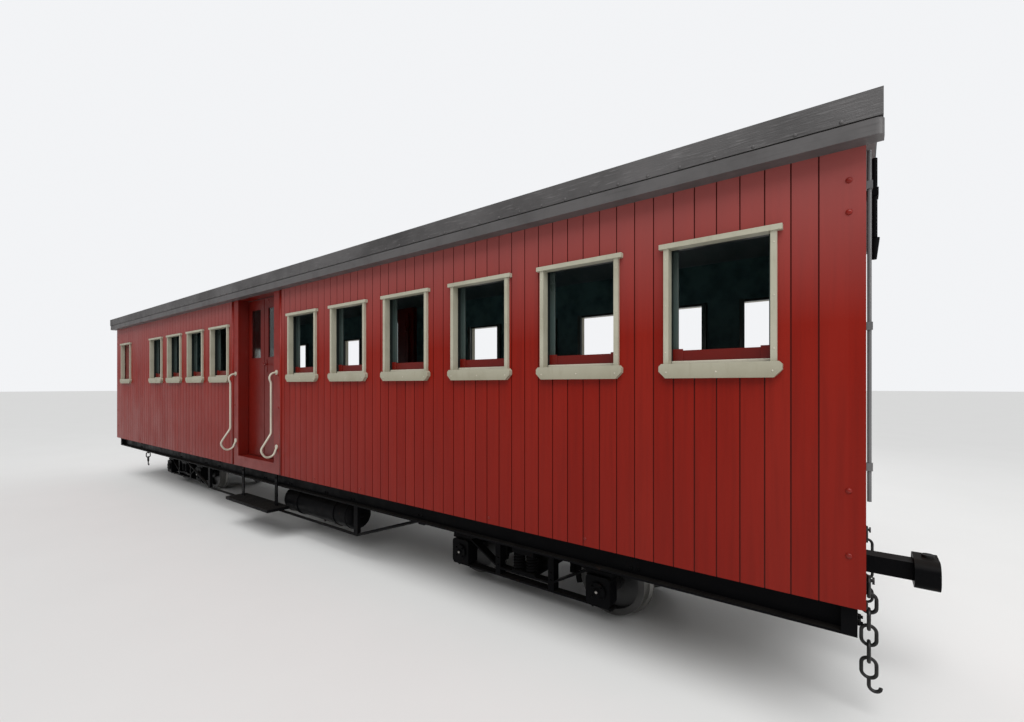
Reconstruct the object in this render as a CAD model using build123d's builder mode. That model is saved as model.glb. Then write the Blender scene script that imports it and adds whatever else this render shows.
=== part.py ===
from build123d import *
import math
import os

# Passenger coach of a 600 mm gauge railway, wooden body on a steel underframe and two bogies.
# Millimetres. +X runs along the coach to its front end, +Z is up, and +Y is its left side.
# The origin is under the middle of the coach, level with the lowest point of the wheel flanges.

os.makedirs("parts", exist_ok=True)

# Body
body_length = 11150.0
body_width = 2000.0
wall_thickness = 60.0
side_bottom_z = 715.0
side_height = 2070.0
corner_board_width = 170.0
board_pitch = 108.0
groove_width = 6.0
groove_depth = 5.0
floor_thickness = 40.0

# Roof and cornice
roof_side_overhang = 88.0
roof_end_overhang = 56.0
roof_rise = 220.0
roof_edge_height = 114.0
roof_edge_rounding = 28.0
roof_crown_thickness = 50.0
joint_line_height = 6.0
joint_line_depth = 20.0
cornice_height = 68.0
cornice_projection = 86.0
cornice_end_reach = 60.0
cornice_end_radius = 30.0
end_cornice_projection = 48.0

# Side windows
window_first_x = 1000.0
window_end_distance = 600.0
window_count = 6
blank_window = 4
window_opening_width = 480.0
window_opening_height = 615.0
window_head_drop = 370.0
reveal_thickness = 20.0
casing_width = 27.0
casing_projection = 22.0
lintel_height = 26.0
lintel_extra = 23.0
lintel_projection = 30.0
sill_height = 77.0
sill_extra = 23.0
sill_projection = 32.0
sill_corner = 36.0
sill_ear = 14.0
sash_rail_height = 75.0
sash_thickness = 25.0
sash_lap = 25.0
shutter_thickness = 20.0

# Door bay, the same on both sides
door_centre_x = -37.5
door_bay_width = 883.0
door_post_width = 125.0
door_recess_depth = 120.0
door_threshold_height = 120.0
door_meeting_offset = -45.0
door_meeting_gap = 12.0
door_leaf_thickness = 40.0
door_gap = 5.0
door_lap = 15.0
door_light_head = 116.0
door_light_height = 592.0
door_light_width = 241.0
door_meeting_stile = 83.0
door_jamb_width = 40.0
hinge_radius = 9.0
hinge_knuckle = 60.0
hinge_offset = 10.0
hinge_plate_length = 40.0
hinge_end_distance = 200.0
hinge_clearance = 0.5

# Handrails beside the doors: distance out from the side, height above its lower edge
handrail_radius = 10.5
handrail_bend = 60.0
handrail_plate_radius = 26.0
handrail_plate_thickness = 8.0
handrail_route = ((0, 1112), (104, 1098), (62, 1000), (62, 450), (176, 275), (113, 185), (35, 212), (0, 300))

# Steps under the doors
step_width = 1050.0
step_depth = 240.0
step_thickness = 32.0
step_top_z = 350.0
step_projection = 110.0
step_iron_width = 50.0
step_iron_thickness = 12.0
step_iron_inset = 120.0

# Underframe
solebar_height = 145.0
solebar_inset = 50.0
solebar_depth = 60.0
solebar_web = 10.0
solebar_flange = 12.0
headstock_thickness = 60.0
headstock_inset = 30.0
sill_beam_inset = 750.0
sill_beam_width = 60.0
bearer_height = 110.0
bearer_width = 80.0
end_bearer_distance = 1075.0
bogie_end_distance = 2100.0
body_bolster_width = 200.0
body_bolster_height = 130.0

# Truss rods and queen posts
truss_inset = 40.0
truss_rod_radius = 14.0
truss_low_z = 258.0
truss_bogie_distance = 821.0
truss_bend = 150.0
queen_post_distance = 940.0
queen_post_width = 60.0
queen_post_thickness = 36.0
truss_anchor_size = 70.0

# Brake reservoir
reservoir_radius = 140.0
reservoir_length = 1300.0
reservoir_centre_x = 920.0
reservoir_inset = 190.0
reservoir_centre_z = 385.0
reservoir_end_rounding = 60.0
reservoir_strap_spacing = 700.0
reservoir_strap_width = 50.0
reservoir_strap_thickness = 8.0

# Wheels and axles
wheel_radius = 250.0
flange_height = 25.0
flange_thickness = 27.0
flange_bevel = 6.0
flange_tip_width = 8.0
flange_tip_drop = 3.0
flange_root_width = 8.0
flange_root_rise = 2.0
tread_taper = 4.0
half_gauge = 300.0
tyre_width = 112.0
rim_depth = 50.0
hub_radius = 75.0
hub_length = 130.0
web_thickness = 22.0
axle_radius = 50.0
journal_radius = 42.0
journal_end_y = 596.0

# Bogies
wheelbase = 1280.0
frame_y = 555.0
frame_bar_width = 70.0
frame_bar_thickness = 16.0
column_x = 250.0
column_width = 50.0
arch_top_z = 505.0
arch_low_z = 215.0
axlebox_length = 180.0
axlebox_height = 204.0
axlebox_depth = 115.0
axlebox_corner = 28.0
axlebox_lid_radius = 62.0
axlebox_lid_thickness = 14.0
journal_clearance = 0.5
journal_end_gap = 4.0
frame_end_length = 100.0
plank_width = 220.0
plank_thickness = 16.0
bolster_width = 200.0
bolster_low_z = 380.0
bolster_height = 100.0
bolster_half_length = 600.0
spring_radius = 48.0
spring_wire_radius = 11.0
spring_turns = 5
spring_spacing = 120.0
centre_plate_radius = 130.0
centre_plate_height = 35.0
pivot_pin_radius = 30.0
pivot_clearance = 0.5
plate_clearance = 0.4
brake_block_gap = 7.0
brake_block_thickness = 40.0
brake_block_width = 75.0
brake_block_angle = 36.0
brake_block_offset = 8.0
brake_beam_size = 40.0
brake_hanger_width = 16.0
brake_hanger_drop = 40.0

# Couplers, their pins and the safety chains
coupler_z = 635.0
coupler_reach = 330.0
coupler_head_width = 260.0
coupler_head_height = 160.0
coupler_head_length = 110.0
coupler_head_corner = 64.0
coupler_shank_width = 110.0
coupler_shank_height = 100.0
coupler_mouth_width = 182.0
coupler_mouth_height = 60.0
coupler_mouth_depth = 90.0
coupler_pin_radius = 16.0
coupler_pin_clearance = 0.4
coupler_pin_head = 28.0
chain_y = 520.0
chain_wire_radius = 8.5
chain_link_length = 100.0
chain_link_width = 62.0
chain_links = 6
chain_clearance = 0.3
chain_wall_gap = 5.0
chain_eye_z = 660.0
chain_stud_head = 18.0
chain_stud_head_thickness = 10.0
chain_hook_drop = 38.0
chain_hook_radius = 24.0

# Fittings on the ends
end_pipe_radius = 8.0
end_pipe_inset = 18.0
end_pipe_offset = 11.0
end_pipe_rise = 470.0
end_pipe_top_gap = 20.0
end_clip_height = 34.0
end_clip_margin = 4.0
end_clip_distance = 150.0
conduit_radius = 11.0
conduit_spacing = 20.0
conduit_offset = 30.0
conduit_distance = 125.0
conduit_length = 350.0
conduit_plug_length = 95.0
conduit_plug_low_radius = 9.0
conduit_plug_high_radius = 20.0

# Benches
bench_width = 640.0
bench_seat_rise = 430.0
bench_seat_depth = 430.0
bench_seat_thickness = 30.0
bench_back_rise = 1000.0
bench_back_thickness = 30.0
bench_end_thickness = 30.0
bench_wall_gap = 6.0

# Worked out from the sizes above
half_length = body_length / 2
half_width = body_width / 2
inner_half_width = half_width - wall_thickness
inner_half_length = half_length - wall_thickness
eave_z = side_bottom_z + side_height
floor_top_z = side_bottom_z + floor_thickness
sill_beam_y = half_width - sill_beam_inset
roof_edge_y = half_width + roof_side_overhang
roof_edge_low_z = eave_z + joint_line_height
roof_edge_top_z = roof_edge_low_z + roof_edge_height
roof_crown_z = roof_edge_top_z + roof_rise
ceiling_crown_z = roof_crown_z - roof_crown_thickness
cornice_low_z = eave_z - cornice_height
window_pitch = (half_length - window_end_distance - window_first_x) / (window_count - 1)
window_high_z = eave_z - window_head_drop
window_low_z = window_high_z - window_opening_height
window_mid_z = (window_low_z + window_high_z) / 2
door_front_x = door_centre_x + door_bay_width / 2
door_rear_x = door_centre_x - door_bay_width / 2
bay_front_x = door_front_x + door_post_width
bay_rear_x = door_rear_x - door_post_width
bay_width = bay_front_x - bay_rear_x
bay_centre_x = (bay_front_x + bay_rear_x) / 2
door_plane_y = half_width - door_recess_depth
threshold_top_z = side_bottom_z + door_threshold_height
solebar_face_y = half_width - solebar_inset
solebar_inner_y = solebar_face_y - solebar_depth
solebar_low_z = side_bottom_z - solebar_height
bogie_centre_x = half_length - bogie_end_distance
truss_end_x = bogie_centre_x - truss_bogie_distance
truss_y = solebar_inner_y - truss_inset
queen_post_x = truss_end_x - queen_post_distance
reservoir_y = solebar_inner_y - reservoir_inset
strap_places = (
    reservoir_centre_x - reservoir_strap_spacing / 2,
    reservoir_centre_x + reservoir_strap_spacing / 2,
)
end_bearer_x = half_length - end_bearer_distance
step_reach = half_width + step_projection
headstock_face_x = half_length - headstock_inset
headstock_inner_x = headstock_face_x - headstock_thickness
bearer_low_z = side_bottom_z - bearer_height
body_bolster_low_z = side_bottom_z - body_bolster_height
axle_z = wheel_radius + flange_height
wheel_back_y = half_gauge - flange_thickness
wheel_outer_y = wheel_back_y + tyre_width
axlebox_top_z = axle_z + axlebox_height / 2
axlebox_low_z = axle_z - axlebox_height / 2
plank_top_z = arch_low_z + frame_bar_thickness + plank_thickness
bolster_top_z = bolster_low_z + bolster_height
bogie_plate_top_z = bolster_top_z + centre_plate_height
end_pipe_y = half_width - end_pipe_inset
end_pipe_low_z = side_bottom_z + end_pipe_rise
end_pipe_high_z = cornice_low_z - end_pipe_top_gap

SIDES = (("left", 1), ("right", -1))
ENDS = (("front", 1), ("rear", -1))


def side_plane(sign, y):
    """Upright plane at y from the centre line, facing outwards; its local x is -sign times X."""
    return Plane(origin=(0, sign * y, 0), x_dir=(-sign, 0, 0), z_dir=(0, sign, 0))


def end_plane(sign, x):
    """Upright plane at x from the middle of the coach, facing outwards; its local x is sign times Y."""
    return Plane(origin=(sign * x, 0, 0), x_dir=(0, sign, 0), z_dir=(sign, 0, 0))


def finish(builder, label):
    """Name one finished piece and write it out."""
    builder.part.label = label
    export_step(builder.part, f"parts/{label}.step")


def windows_of(side):
    """Window centres along one side: the right side has one place left blank."""
    rear_places = [i for i in range(window_count) if side == "left" or i != blank_window]
    front = [window_first_x + window_pitch * i for i in range(window_count)]
    rear = [-(window_first_x + window_pitch * i) for i in rear_places]
    return front, rear


def groove_places(start, stop):
    """Even joints between boards from start to stop, about one board pitch apart."""
    boards = max(1, round(abs(stop - start) / board_pitch))
    return [start + (stop - start) * i / boards for i in range(boards)]


# Floor and underframe
with BuildPart() as floor:
    with Locations((0, 0, side_bottom_z + floor_thickness / 2)):
        Box(2 * inner_half_length, 2 * inner_half_width, floor_thickness)
    door_cut = inner_half_width - door_plane_y
    for name, sign in SIDES:
        cut_y = door_plane_y + door_cut / 2
        with Locations((bay_centre_x, sign * cut_y, side_bottom_z + floor_thickness / 2)):
            Box(bay_width, door_cut, floor_thickness, mode=Mode.SUBTRACT)
finish(floor, "floor")

with BuildPart() as solebars:
    with BuildSketch(Plane.YZ.offset(-headstock_inner_x)):
        for name, sign in SIDES:
            with Locations((sign * (solebar_face_y - solebar_depth / 2), side_bottom_z - solebar_height / 2)):
                Rectangle(solebar_depth, solebar_height)
            recess = solebar_depth - solebar_web
            with Locations((sign * (solebar_face_y - recess / 2), side_bottom_z - solebar_height / 2)):
                Rectangle(recess, solebar_height - 2 * solebar_flange, mode=Mode.SUBTRACT)
    extrude(amount=2 * headstock_inner_x)
finish(solebars, "solebars")

with BuildPart() as headstocks:
    for name, sign in ENDS:
        headstock_x = sign * (headstock_face_x + headstock_inner_x) / 2
        with Locations((headstock_x, 0, side_bottom_z - solebar_height / 2)):
            Box(headstock_thickness, 2 * solebar_face_y, solebar_height)
finish(headstocks, "headstocks")

# Cross bearers, and the sill beams cut to length between them
bearer_places = (0.0, *strap_places, queen_post_x, truss_end_x, end_bearer_x)
bearer_stations = sorted({side_sign * x for x in bearer_places for side_sign in (1, -1)})
with BuildPart() as cross_bearers:
    with Locations([(x, 0, side_bottom_z - bearer_height / 2) for x in bearer_stations]):
        Box(bearer_width, 2 * solebar_inner_y, bearer_height)
finish(cross_bearers, "cross_bearers")

crossings = [(x, bearer_width) for x in bearer_stations]
crossings += [(sign * bogie_centre_x, body_bolster_width) for end, sign in ENDS]
crossings.sort()
beam_starts = [-headstock_inner_x] + [x + width / 2 for x, width in crossings]
beam_stops = [x - width / 2 for x, width in crossings] + [headstock_inner_x]
with BuildPart() as sill_beams:
    for start, stop in zip(beam_starts, beam_stops):
        for side, sign in SIDES:
            with Locations(((start + stop) / 2, sign * sill_beam_y, side_bottom_z - bearer_height / 2)):
                Box(stop - start, sill_beam_width, bearer_height)
finish(sill_beams, "sill_beams")

with BuildPart() as body_bolsters:
    for name, sign in ENDS:
        with Locations((sign * bogie_centre_x, 0, side_bottom_z - body_bolster_height / 2)):
            Box(body_bolster_width, 2 * solebar_inner_y, body_bolster_height)
        with BuildSketch(Plane.XY.offset(bogie_plate_top_z + plate_clearance)):
            with Locations((sign * bogie_centre_x, 0)):
                Circle(centre_plate_radius)
        extrude(amount=body_bolster_low_z - bogie_plate_top_z - plate_clearance)
        with BuildSketch(Plane.XY.offset(bolster_low_z)):
            with Locations((sign * bogie_centre_x, 0)):
                Circle(pivot_pin_radius)
        extrude(amount=body_bolster_low_z - bolster_low_z)
finish(body_bolsters, "body_bolsters")

# Truss rods under the solebars, their queen posts and end anchors
with BuildPart() as truss_rods:
    for name, sign in SIDES:
        rod_plane = side_plane(sign, truss_y)
        anchor_z = solebar_low_z
        with BuildLine(rod_plane) as rod_line:
            FilletPolyline(
                (-truss_end_x, anchor_z),
                (-queen_post_x, truss_low_z),
                (queen_post_x, truss_low_z),
                (truss_end_x, anchor_z),
                radius=truss_bend,
            )
        with BuildSketch(Plane(origin=rod_line.line @ 0, z_dir=rod_line.line % 0)):
            Circle(truss_rod_radius)
        sweep(path=rod_line.line)
        anchor_depth = solebar_inner_y - truss_y + truss_anchor_size / 2
        for end in (1, -1):
            with Locations((end * truss_end_x, sign * (solebar_inner_y - anchor_depth / 2), anchor_z)):
                Box(truss_anchor_size, anchor_depth, truss_anchor_size)
finish(truss_rods, "truss_rods")

with BuildPart() as queen_posts:
    for name, sign in SIDES:
        for end in (1, -1):
            with Locations((end * queen_post_x, sign * truss_y, (truss_low_z + bearer_low_z) / 2)):
                Box(queen_post_width, queen_post_thickness, bearer_low_z - truss_low_z)
    # the foot of each post is notched over its rod
    add(truss_rods.part, mode=Mode.SUBTRACT)
finish(queen_posts, "queen_posts")

# Brake reservoir on the right side, in two straps from the cross bearers
with BuildPart() as reservoir:
    with BuildSketch(Plane.YZ.offset(reservoir_centre_x - reservoir_length / 2)):
        with Locations((-reservoir_y, reservoir_centre_z)):
            Circle(reservoir_radius)
    extrude(amount=reservoir_length)
    fillet(reservoir.edges().filter_by(GeomType.CIRCLE), reservoir_end_rounding)
finish(reservoir, "reservoir")

with BuildPart() as reservoir_straps:
    for strap_x in strap_places:
        with BuildSketch(Plane.YZ.offset(strap_x - reservoir_strap_width / 2)):
            with Locations((-reservoir_y, reservoir_centre_z)):
                Circle(reservoir_radius + reservoir_strap_thickness)
            with Locations((-reservoir_y, (reservoir_centre_z + bearer_low_z) / 2)):
                Rectangle(reservoir_radius, bearer_low_z - reservoir_centre_z)
            with Locations((-reservoir_y, reservoir_centre_z)):
                Circle(reservoir_radius, mode=Mode.SUBTRACT)
        extrude(amount=reservoir_strap_width)
finish(reservoir_straps, "reservoir_straps")

# Body walls of upright boards
for side, sign in SIDES:
    front_windows, rear_windows = windows_of(side)
    bays = (
        ("front", bay_front_x, half_length, front_windows),
        ("rear", bay_rear_x, -half_length, rear_windows),
    )
    for end, inner_x, outer_x, centres in bays:
        corner_x = outer_x - math.copysign(corner_board_width, outer_x)
        with BuildPart() as wall:
            with BuildSketch(Plane.XY.offset(side_bottom_z)):
                with Locations(((inner_x + outer_x) / 2, sign * (half_width - wall_thickness / 2))):
                    Rectangle(abs(outer_x - inner_x), wall_thickness)
                with Locations([(x, sign * half_width) for x in groove_places(corner_x, inner_x)]):
                    Rectangle(groove_width, 2 * groove_depth, mode=Mode.SUBTRACT)
            extrude(amount=side_height)
            with Locations([(x, sign * (half_width - wall_thickness / 2), window_mid_z) for x in centres]):
                Box(
                    window_opening_width + 2 * reveal_thickness,
                    wall_thickness,
                    window_opening_height + 2 * reveal_thickness,
                    mode=Mode.SUBTRACT,
                )
        finish(wall, f"side_wall_{side}_{end}")

for end, sign in ENDS:
    with BuildPart() as end_wall:
        with BuildSketch(Plane.XY.offset(side_bottom_z)):
            with Locations((sign * (half_length - wall_thickness / 2), 0)):
                Rectangle(wall_thickness, 2 * inner_half_width)
            joints = groove_places(-inner_half_width, inner_half_width)[1:]
            with Locations([(sign * half_length, y) for y in joints]):
                Rectangle(2 * groove_depth, groove_width, mode=Mode.SUBTRACT)
        extrude(amount=ceiling_crown_z - side_bottom_z)
        with BuildSketch(end_plane(sign, half_length - wall_thickness)):
            with BuildLine():
                ThreePointArc((-inner_half_width, eave_z), (0, ceiling_crown_z), (inner_half_width, eave_z))
                Polyline(
                    (inner_half_width, eave_z),
                    (inner_half_width, side_bottom_z),
                    (-inner_half_width, side_bottom_z),
                    (-inner_half_width, eave_z),
                )
            make_face()
        extrude(amount=wall_thickness, mode=Mode.INTERSECT)
    finish(end_wall, f"end_wall_{end}")

# Roof, one curved shell with a recessed joint line above the cornice
with BuildPart() as roof:
    with BuildSketch(Plane.YZ.offset(-half_length - roof_end_overhang)):
        with BuildLine():
            ThreePointArc((-roof_edge_y, roof_edge_top_z), (0, roof_crown_z), (roof_edge_y, roof_edge_top_z))
            Polyline(
                (roof_edge_y, roof_edge_top_z),
                (roof_edge_y, roof_edge_low_z),
                (roof_edge_y - joint_line_depth, roof_edge_low_z),
                (roof_edge_y - joint_line_depth, eave_z),
                (inner_half_width, eave_z),
            )
            ThreePointArc((inner_half_width, eave_z), (0, ceiling_crown_z), (-inner_half_width, eave_z))
            Polyline(
                (-inner_half_width, eave_z),
                (-roof_edge_y + joint_line_depth, eave_z),
                (-roof_edge_y + joint_line_depth, roof_edge_low_z),
                (-roof_edge_y, roof_edge_low_z),
                (-roof_edge_y, roof_edge_top_z),
            )
        make_face()
        edge_corners = [v for v in vertices() if abs(v.Y) > roof_edge_y - 1 and v.Z > roof_edge_low_z + 1]
        fillet(edge_corners, roof_edge_rounding)
    extrude(amount=body_length + 2 * roof_end_overhang)
finish(roof, "roof")

with BuildPart() as cornices:
    for side, sign in SIDES:
        with BuildSketch(Plane.XY.offset(cornice_low_z)):
            with Locations((0, sign * (half_width + cornice_projection / 2))):
                Rectangle(body_length + 2 * cornice_end_reach, cornice_projection)
            fillet(vertices().sort_by(Axis((0, 0, 0), (0, sign, 0)))[-2:], cornice_end_radius)
        extrude(amount=cornice_height)
finish(cornices, "cornices")

with BuildPart() as end_cornices:
    for end, sign in ENDS:
        with BuildSketch(end_plane(sign, half_length)):
            with BuildLine():
                ThreePointArc((-inner_half_width, eave_z), (0, ceiling_crown_z), (inner_half_width, eave_z))
                Polyline((inner_half_width, eave_z), (half_width, eave_z), (half_width, cornice_low_z))
                ThreePointArc(
                    (half_width, cornice_low_z),
                    (0, ceiling_crown_z - cornice_height),
                    (-half_width, cornice_low_z),
                )
                Polyline((-half_width, cornice_low_z), (-half_width, eave_z), (-inner_half_width, eave_z))
            make_face()
        extrude(amount=end_cornice_projection)
finish(end_cornices, "end_cornices")

# Window casings with their reveals, lintels and sills, and the lowered sashes behind them
for side, sign in SIDES:
    front_windows, rear_windows = windows_of(side)
    centres = front_windows + rear_windows
    with BuildPart() as frames:
        casing_full_width = window_opening_width + 2 * casing_width
        layers = (
            # width, height, middle height, near face from the centre line, thickness
            (casing_full_width, window_opening_height, window_mid_z, half_width, casing_projection),
            (
                casing_full_width + 2 * lintel_extra,
                lintel_height,
                window_high_z + lintel_height / 2,
                half_width,
                lintel_projection,
            ),
            (
                window_opening_width + 2 * reveal_thickness,
                window_opening_height + 2 * reveal_thickness,
                window_mid_z,
                half_width - wall_thickness,
                wall_thickness,
            ),
        )
        for width, height, mid_z, near_y, thickness in layers:
            with BuildSketch(side_plane(sign, near_y)):
                with Locations([(-sign * x, mid_z) for x in centres]):
                    Rectangle(width, height)
            extrude(amount=thickness)
        with BuildSketch(side_plane(sign, half_width)):
            half_sill = casing_full_width / 2 + sill_extra
            with Locations([(-sign * x, window_low_z) for x in centres]):
                Polygon(
                    (-half_sill + sill_ear, 0),
                    (-half_sill, -sill_ear),
                    (-half_sill, -sill_height + sill_corner),
                    (-half_sill + sill_corner, -sill_height),
                    (half_sill - sill_corner, -sill_height),
                    (half_sill, -sill_height + sill_corner),
                    (half_sill, -sill_ear),
                    (half_sill - sill_ear, 0),
                    align=None,
                )
        extrude(amount=sill_projection)
        with BuildSketch(side_plane(sign, half_width - wall_thickness)):
            with Locations([(-sign * x, window_mid_z) for x in centres]):
                Rectangle(window_opening_width, window_opening_height)
        extrude(amount=wall_thickness + casing_projection, mode=Mode.SUBTRACT)
    finish(frames, f"window_frames_{side}")

    with BuildPart() as sashes:
        sash_inner_y = half_width - wall_thickness - sash_thickness
        with BuildSketch(side_plane(sign, sash_inner_y)):
            rail_width = window_opening_width + 2 * reveal_thickness + 2 * sash_lap
            with Locations([(-sign * x, window_low_z + (sash_rail_height - sash_lap) / 2) for x in centres]):
                Rectangle(rail_width, sash_rail_height + sash_lap)
        extrude(amount=sash_thickness)
    finish(sashes, f"window_sashes_{side}")

with BuildPart() as shutter:
    shutter_x = -(window_first_x + window_pitch * (window_count - 1))
    with BuildSketch(side_plane(-1, half_width - wall_thickness)):
        with Locations((shutter_x, window_mid_z)):
            Rectangle(window_opening_width, window_opening_height)
    extrude(amount=shutter_thickness)
finish(shutter, "window_shutter")

# Door bays: posts, threshold and header round a recess, with two leaves that meet
door_meeting_x = door_centre_x + door_meeting_offset
leaf_outer_y = door_plane_y - door_gap
leaf_inner_y = leaf_outer_y - door_leaf_thickness
hinge_y = leaf_inner_y - hinge_offset
leaf_low_z = threshold_top_z + door_gap
leaf_high_z = cornice_low_z - door_gap
leaf_height = leaf_high_z - leaf_low_z
leaf_mid_z = (leaf_low_z + leaf_high_z) / 2
hinge_places = (
    leaf_low_z + hinge_end_distance,
    leaf_mid_z,
    leaf_high_z - hinge_end_distance,
)
light_mid_z = cornice_low_z - door_light_head - door_light_height / 2
jamb_plate_reach = door_gap + door_jamb_width / 2

# end, its sign, hinge place and free edge of each leaf
LEAVES = (
    ("front", 1, door_front_x + door_lap, door_meeting_x + door_meeting_gap / 2),
    ("rear", -1, door_rear_x - door_lap, door_meeting_x - door_meeting_gap / 2),
)

for side, sign in SIDES:
    with BuildPart() as door_frame:
        with BuildSketch(side_plane(sign, door_plane_y)):
            with Locations((-sign * bay_centre_x, (side_bottom_z + eave_z) / 2)):
                Rectangle(bay_width, side_height)
            with Locations((-sign * door_centre_x, (threshold_top_z + cornice_low_z) / 2)):
                Rectangle(door_bay_width, cornice_low_z - threshold_top_z, mode=Mode.SUBTRACT)
        extrude(amount=door_recess_depth)
        for end, end_sign, hinge_x, free_x in LEAVES:
            jamb_x = hinge_x + end_sign * (door_gap + door_jamb_width / 2)
            with BuildSketch(side_plane(sign, leaf_inner_y)):
                with Locations((-sign * jamb_x, leaf_mid_z)):
                    Rectangle(door_jamb_width, leaf_height)
            extrude(amount=door_plane_y - leaf_inner_y)
            for place in hinge_places:
                with BuildSketch(Plane.XY.offset(place - hinge_knuckle - hinge_clearance)):
                    with Locations((hinge_x, sign * hinge_y)):
                        Circle(hinge_radius)
                    with Locations((hinge_x + end_sign * jamb_plate_reach / 2, sign * hinge_y)):
                        Rectangle(jamb_plate_reach, hinge_offset)
                    plate_x = jamb_x - end_sign * door_jamb_width / 4
                    with Locations((plate_x, sign * (leaf_inner_y + hinge_y) / 2)):
                        Rectangle(door_jamb_width / 2, hinge_offset)
                extrude(amount=hinge_knuckle)
    finish(door_frame, f"door_frame_{side}")

    for end, end_sign, hinge_x, free_x in LEAVES:
        with BuildPart() as leaf:
            with BuildSketch(side_plane(sign, leaf_inner_y)):
                with Locations((-sign * (hinge_x + free_x) / 2, leaf_mid_z)):
                    Rectangle(end_sign * (hinge_x - free_x), leaf_height)
                light_x = free_x + end_sign * (door_meeting_stile + door_light_width / 2)
                with Locations((-sign * light_x, light_mid_z)):
                    Rectangle(door_light_width, door_light_height, mode=Mode.SUBTRACT)
            extrude(amount=door_leaf_thickness)
            for place in hinge_places:
                with BuildSketch(Plane.XY.offset(place)):
                    with Locations((hinge_x, sign * hinge_y)):
                        Circle(hinge_radius)
                    plate_x = hinge_x - end_sign * hinge_plate_length / 2
                    with Locations((plate_x, sign * (leaf_inner_y + hinge_y) / 2)):
                        Rectangle(hinge_plate_length, hinge_offset)
                extrude(amount=hinge_knuckle)
        finish(leaf, f"door_{side}_{end}")

# Handrails on the door posts
rail_places = (door_front_x + door_post_width / 2, door_rear_x - door_post_width / 2)
for side, sign in SIDES:
    with BuildPart() as handrails:
        for x in rail_places:
            rail_plane = Plane(origin=(x, 0, 0), x_dir=(0, sign, 0), z_dir=(sign, 0, 0))
            route = [(half_width + out, side_bottom_z + rise) for out, rise in handrail_route]
            with BuildLine(rail_plane) as rail_line:
                FilletPolyline(*route, radius=handrail_bend)
            with BuildSketch(Plane(origin=rail_line.line @ 0, z_dir=rail_line.line % 0)):
                Circle(handrail_radius)
            sweep(path=rail_line.line)
            with BuildSketch(side_plane(sign, half_width)):
                with Locations((-sign * x, route[0][1]), (-sign * x, route[-1][1])):
                    Circle(handrail_plate_radius)
            extrude(amount=handrail_plate_thickness)
        # the slanting lower end is cut flush with the side
        with BuildSketch(side_plane(sign, half_width - 2 * handrail_plate_radius)):
            with Locations((-sign * door_centre_x, side_bottom_z + side_height / 2)):
                Rectangle(bay_width, side_height)
        extrude(amount=2 * handrail_plate_radius, mode=Mode.SUBTRACT)
    finish(handrails, f"handrails_{side}")

# Steps hung from the solebars
for side, sign in SIDES:
    with BuildPart() as step:
        with BuildSketch(Plane.XY.offset(step_top_z - step_thickness)):
            with Locations((door_centre_x, sign * (step_reach - step_depth / 2))):
                RectangleRounded(step_width, step_depth, step_thickness / 2)
        extrude(amount=step_thickness)
        for end in (1, -1):
            iron_x = door_centre_x + end * (step_width / 2 - step_iron_inset)
            with BuildSketch(Plane.YZ.offset(iron_x - step_iron_width / 2)):
                hang_low_z = step_top_z - step_thickness
                with BuildLine():
                    Polyline(
                        (sign * solebar_face_y, side_bottom_z - solebar_flange),
                        (sign * (solebar_face_y + step_iron_thickness), side_bottom_z - solebar_flange),
                        (sign * (solebar_face_y + step_iron_thickness), hang_low_z),
                        (sign * (step_reach - step_thickness), hang_low_z),
                        (sign * (step_reach - step_thickness), hang_low_z - step_iron_thickness),
                        (sign * solebar_face_y, hang_low_z - step_iron_thickness),
                        close=True,
                    )
                make_face()
            extrude(amount=step_iron_width)
    finish(step, f"step_{side}")

# Couplers with their pins, and the safety chains beside them
for end, sign in ENDS:
    head_face_x = half_length + coupler_reach
    head_back_x = head_face_x - coupler_head_length
    with BuildPart() as coupler:
        shank_length = head_back_x - headstock_face_x
        with Locations((sign * (headstock_face_x + shank_length / 2), 0, coupler_z)):
            Box(shank_length, coupler_shank_width, coupler_shank_height)
        with BuildSketch(end_plane(sign, head_back_x)):
            with Locations((0, coupler_z)):
                RectangleRounded(coupler_head_width, coupler_head_height, coupler_head_corner)
        extrude(amount=coupler_head_length)
        mouth_x = sign * (head_face_x - coupler_mouth_depth / 2)
        with Locations((mouth_x, 0, coupler_z)):
            Box(coupler_mouth_depth, coupler_mouth_width, coupler_mouth_height, mode=Mode.SUBTRACT)
        with BuildSketch(Plane.XY.offset(coupler_z - coupler_head_height / 2)):
            with Locations((mouth_x, 0)):
                Circle(coupler_pin_radius + coupler_pin_clearance)
        extrude(amount=coupler_head_height, mode=Mode.SUBTRACT)
    finish(coupler, f"coupler_{end}")

with BuildPart() as coupler_pins:
    for end, sign in ENDS:
        pin_x = sign * (half_length + coupler_reach - coupler_mouth_depth / 2)
        pin_low_z = coupler_z - coupler_head_height / 2 - coupler_pin_radius
        pin_top_z = coupler_z + coupler_head_height / 2
        with BuildSketch(Plane.XY.offset(pin_low_z)):
            with Locations((pin_x, 0)):
                Circle(coupler_pin_radius)
        extrude(amount=pin_top_z - pin_low_z)
        with BuildSketch(Plane.XY.offset(pin_top_z)):
            with Locations((pin_x, 0)):
                Circle(coupler_pin_head)
        extrude(amount=coupler_pin_radius)
finish(coupler_pins, "coupler_pins")

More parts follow.
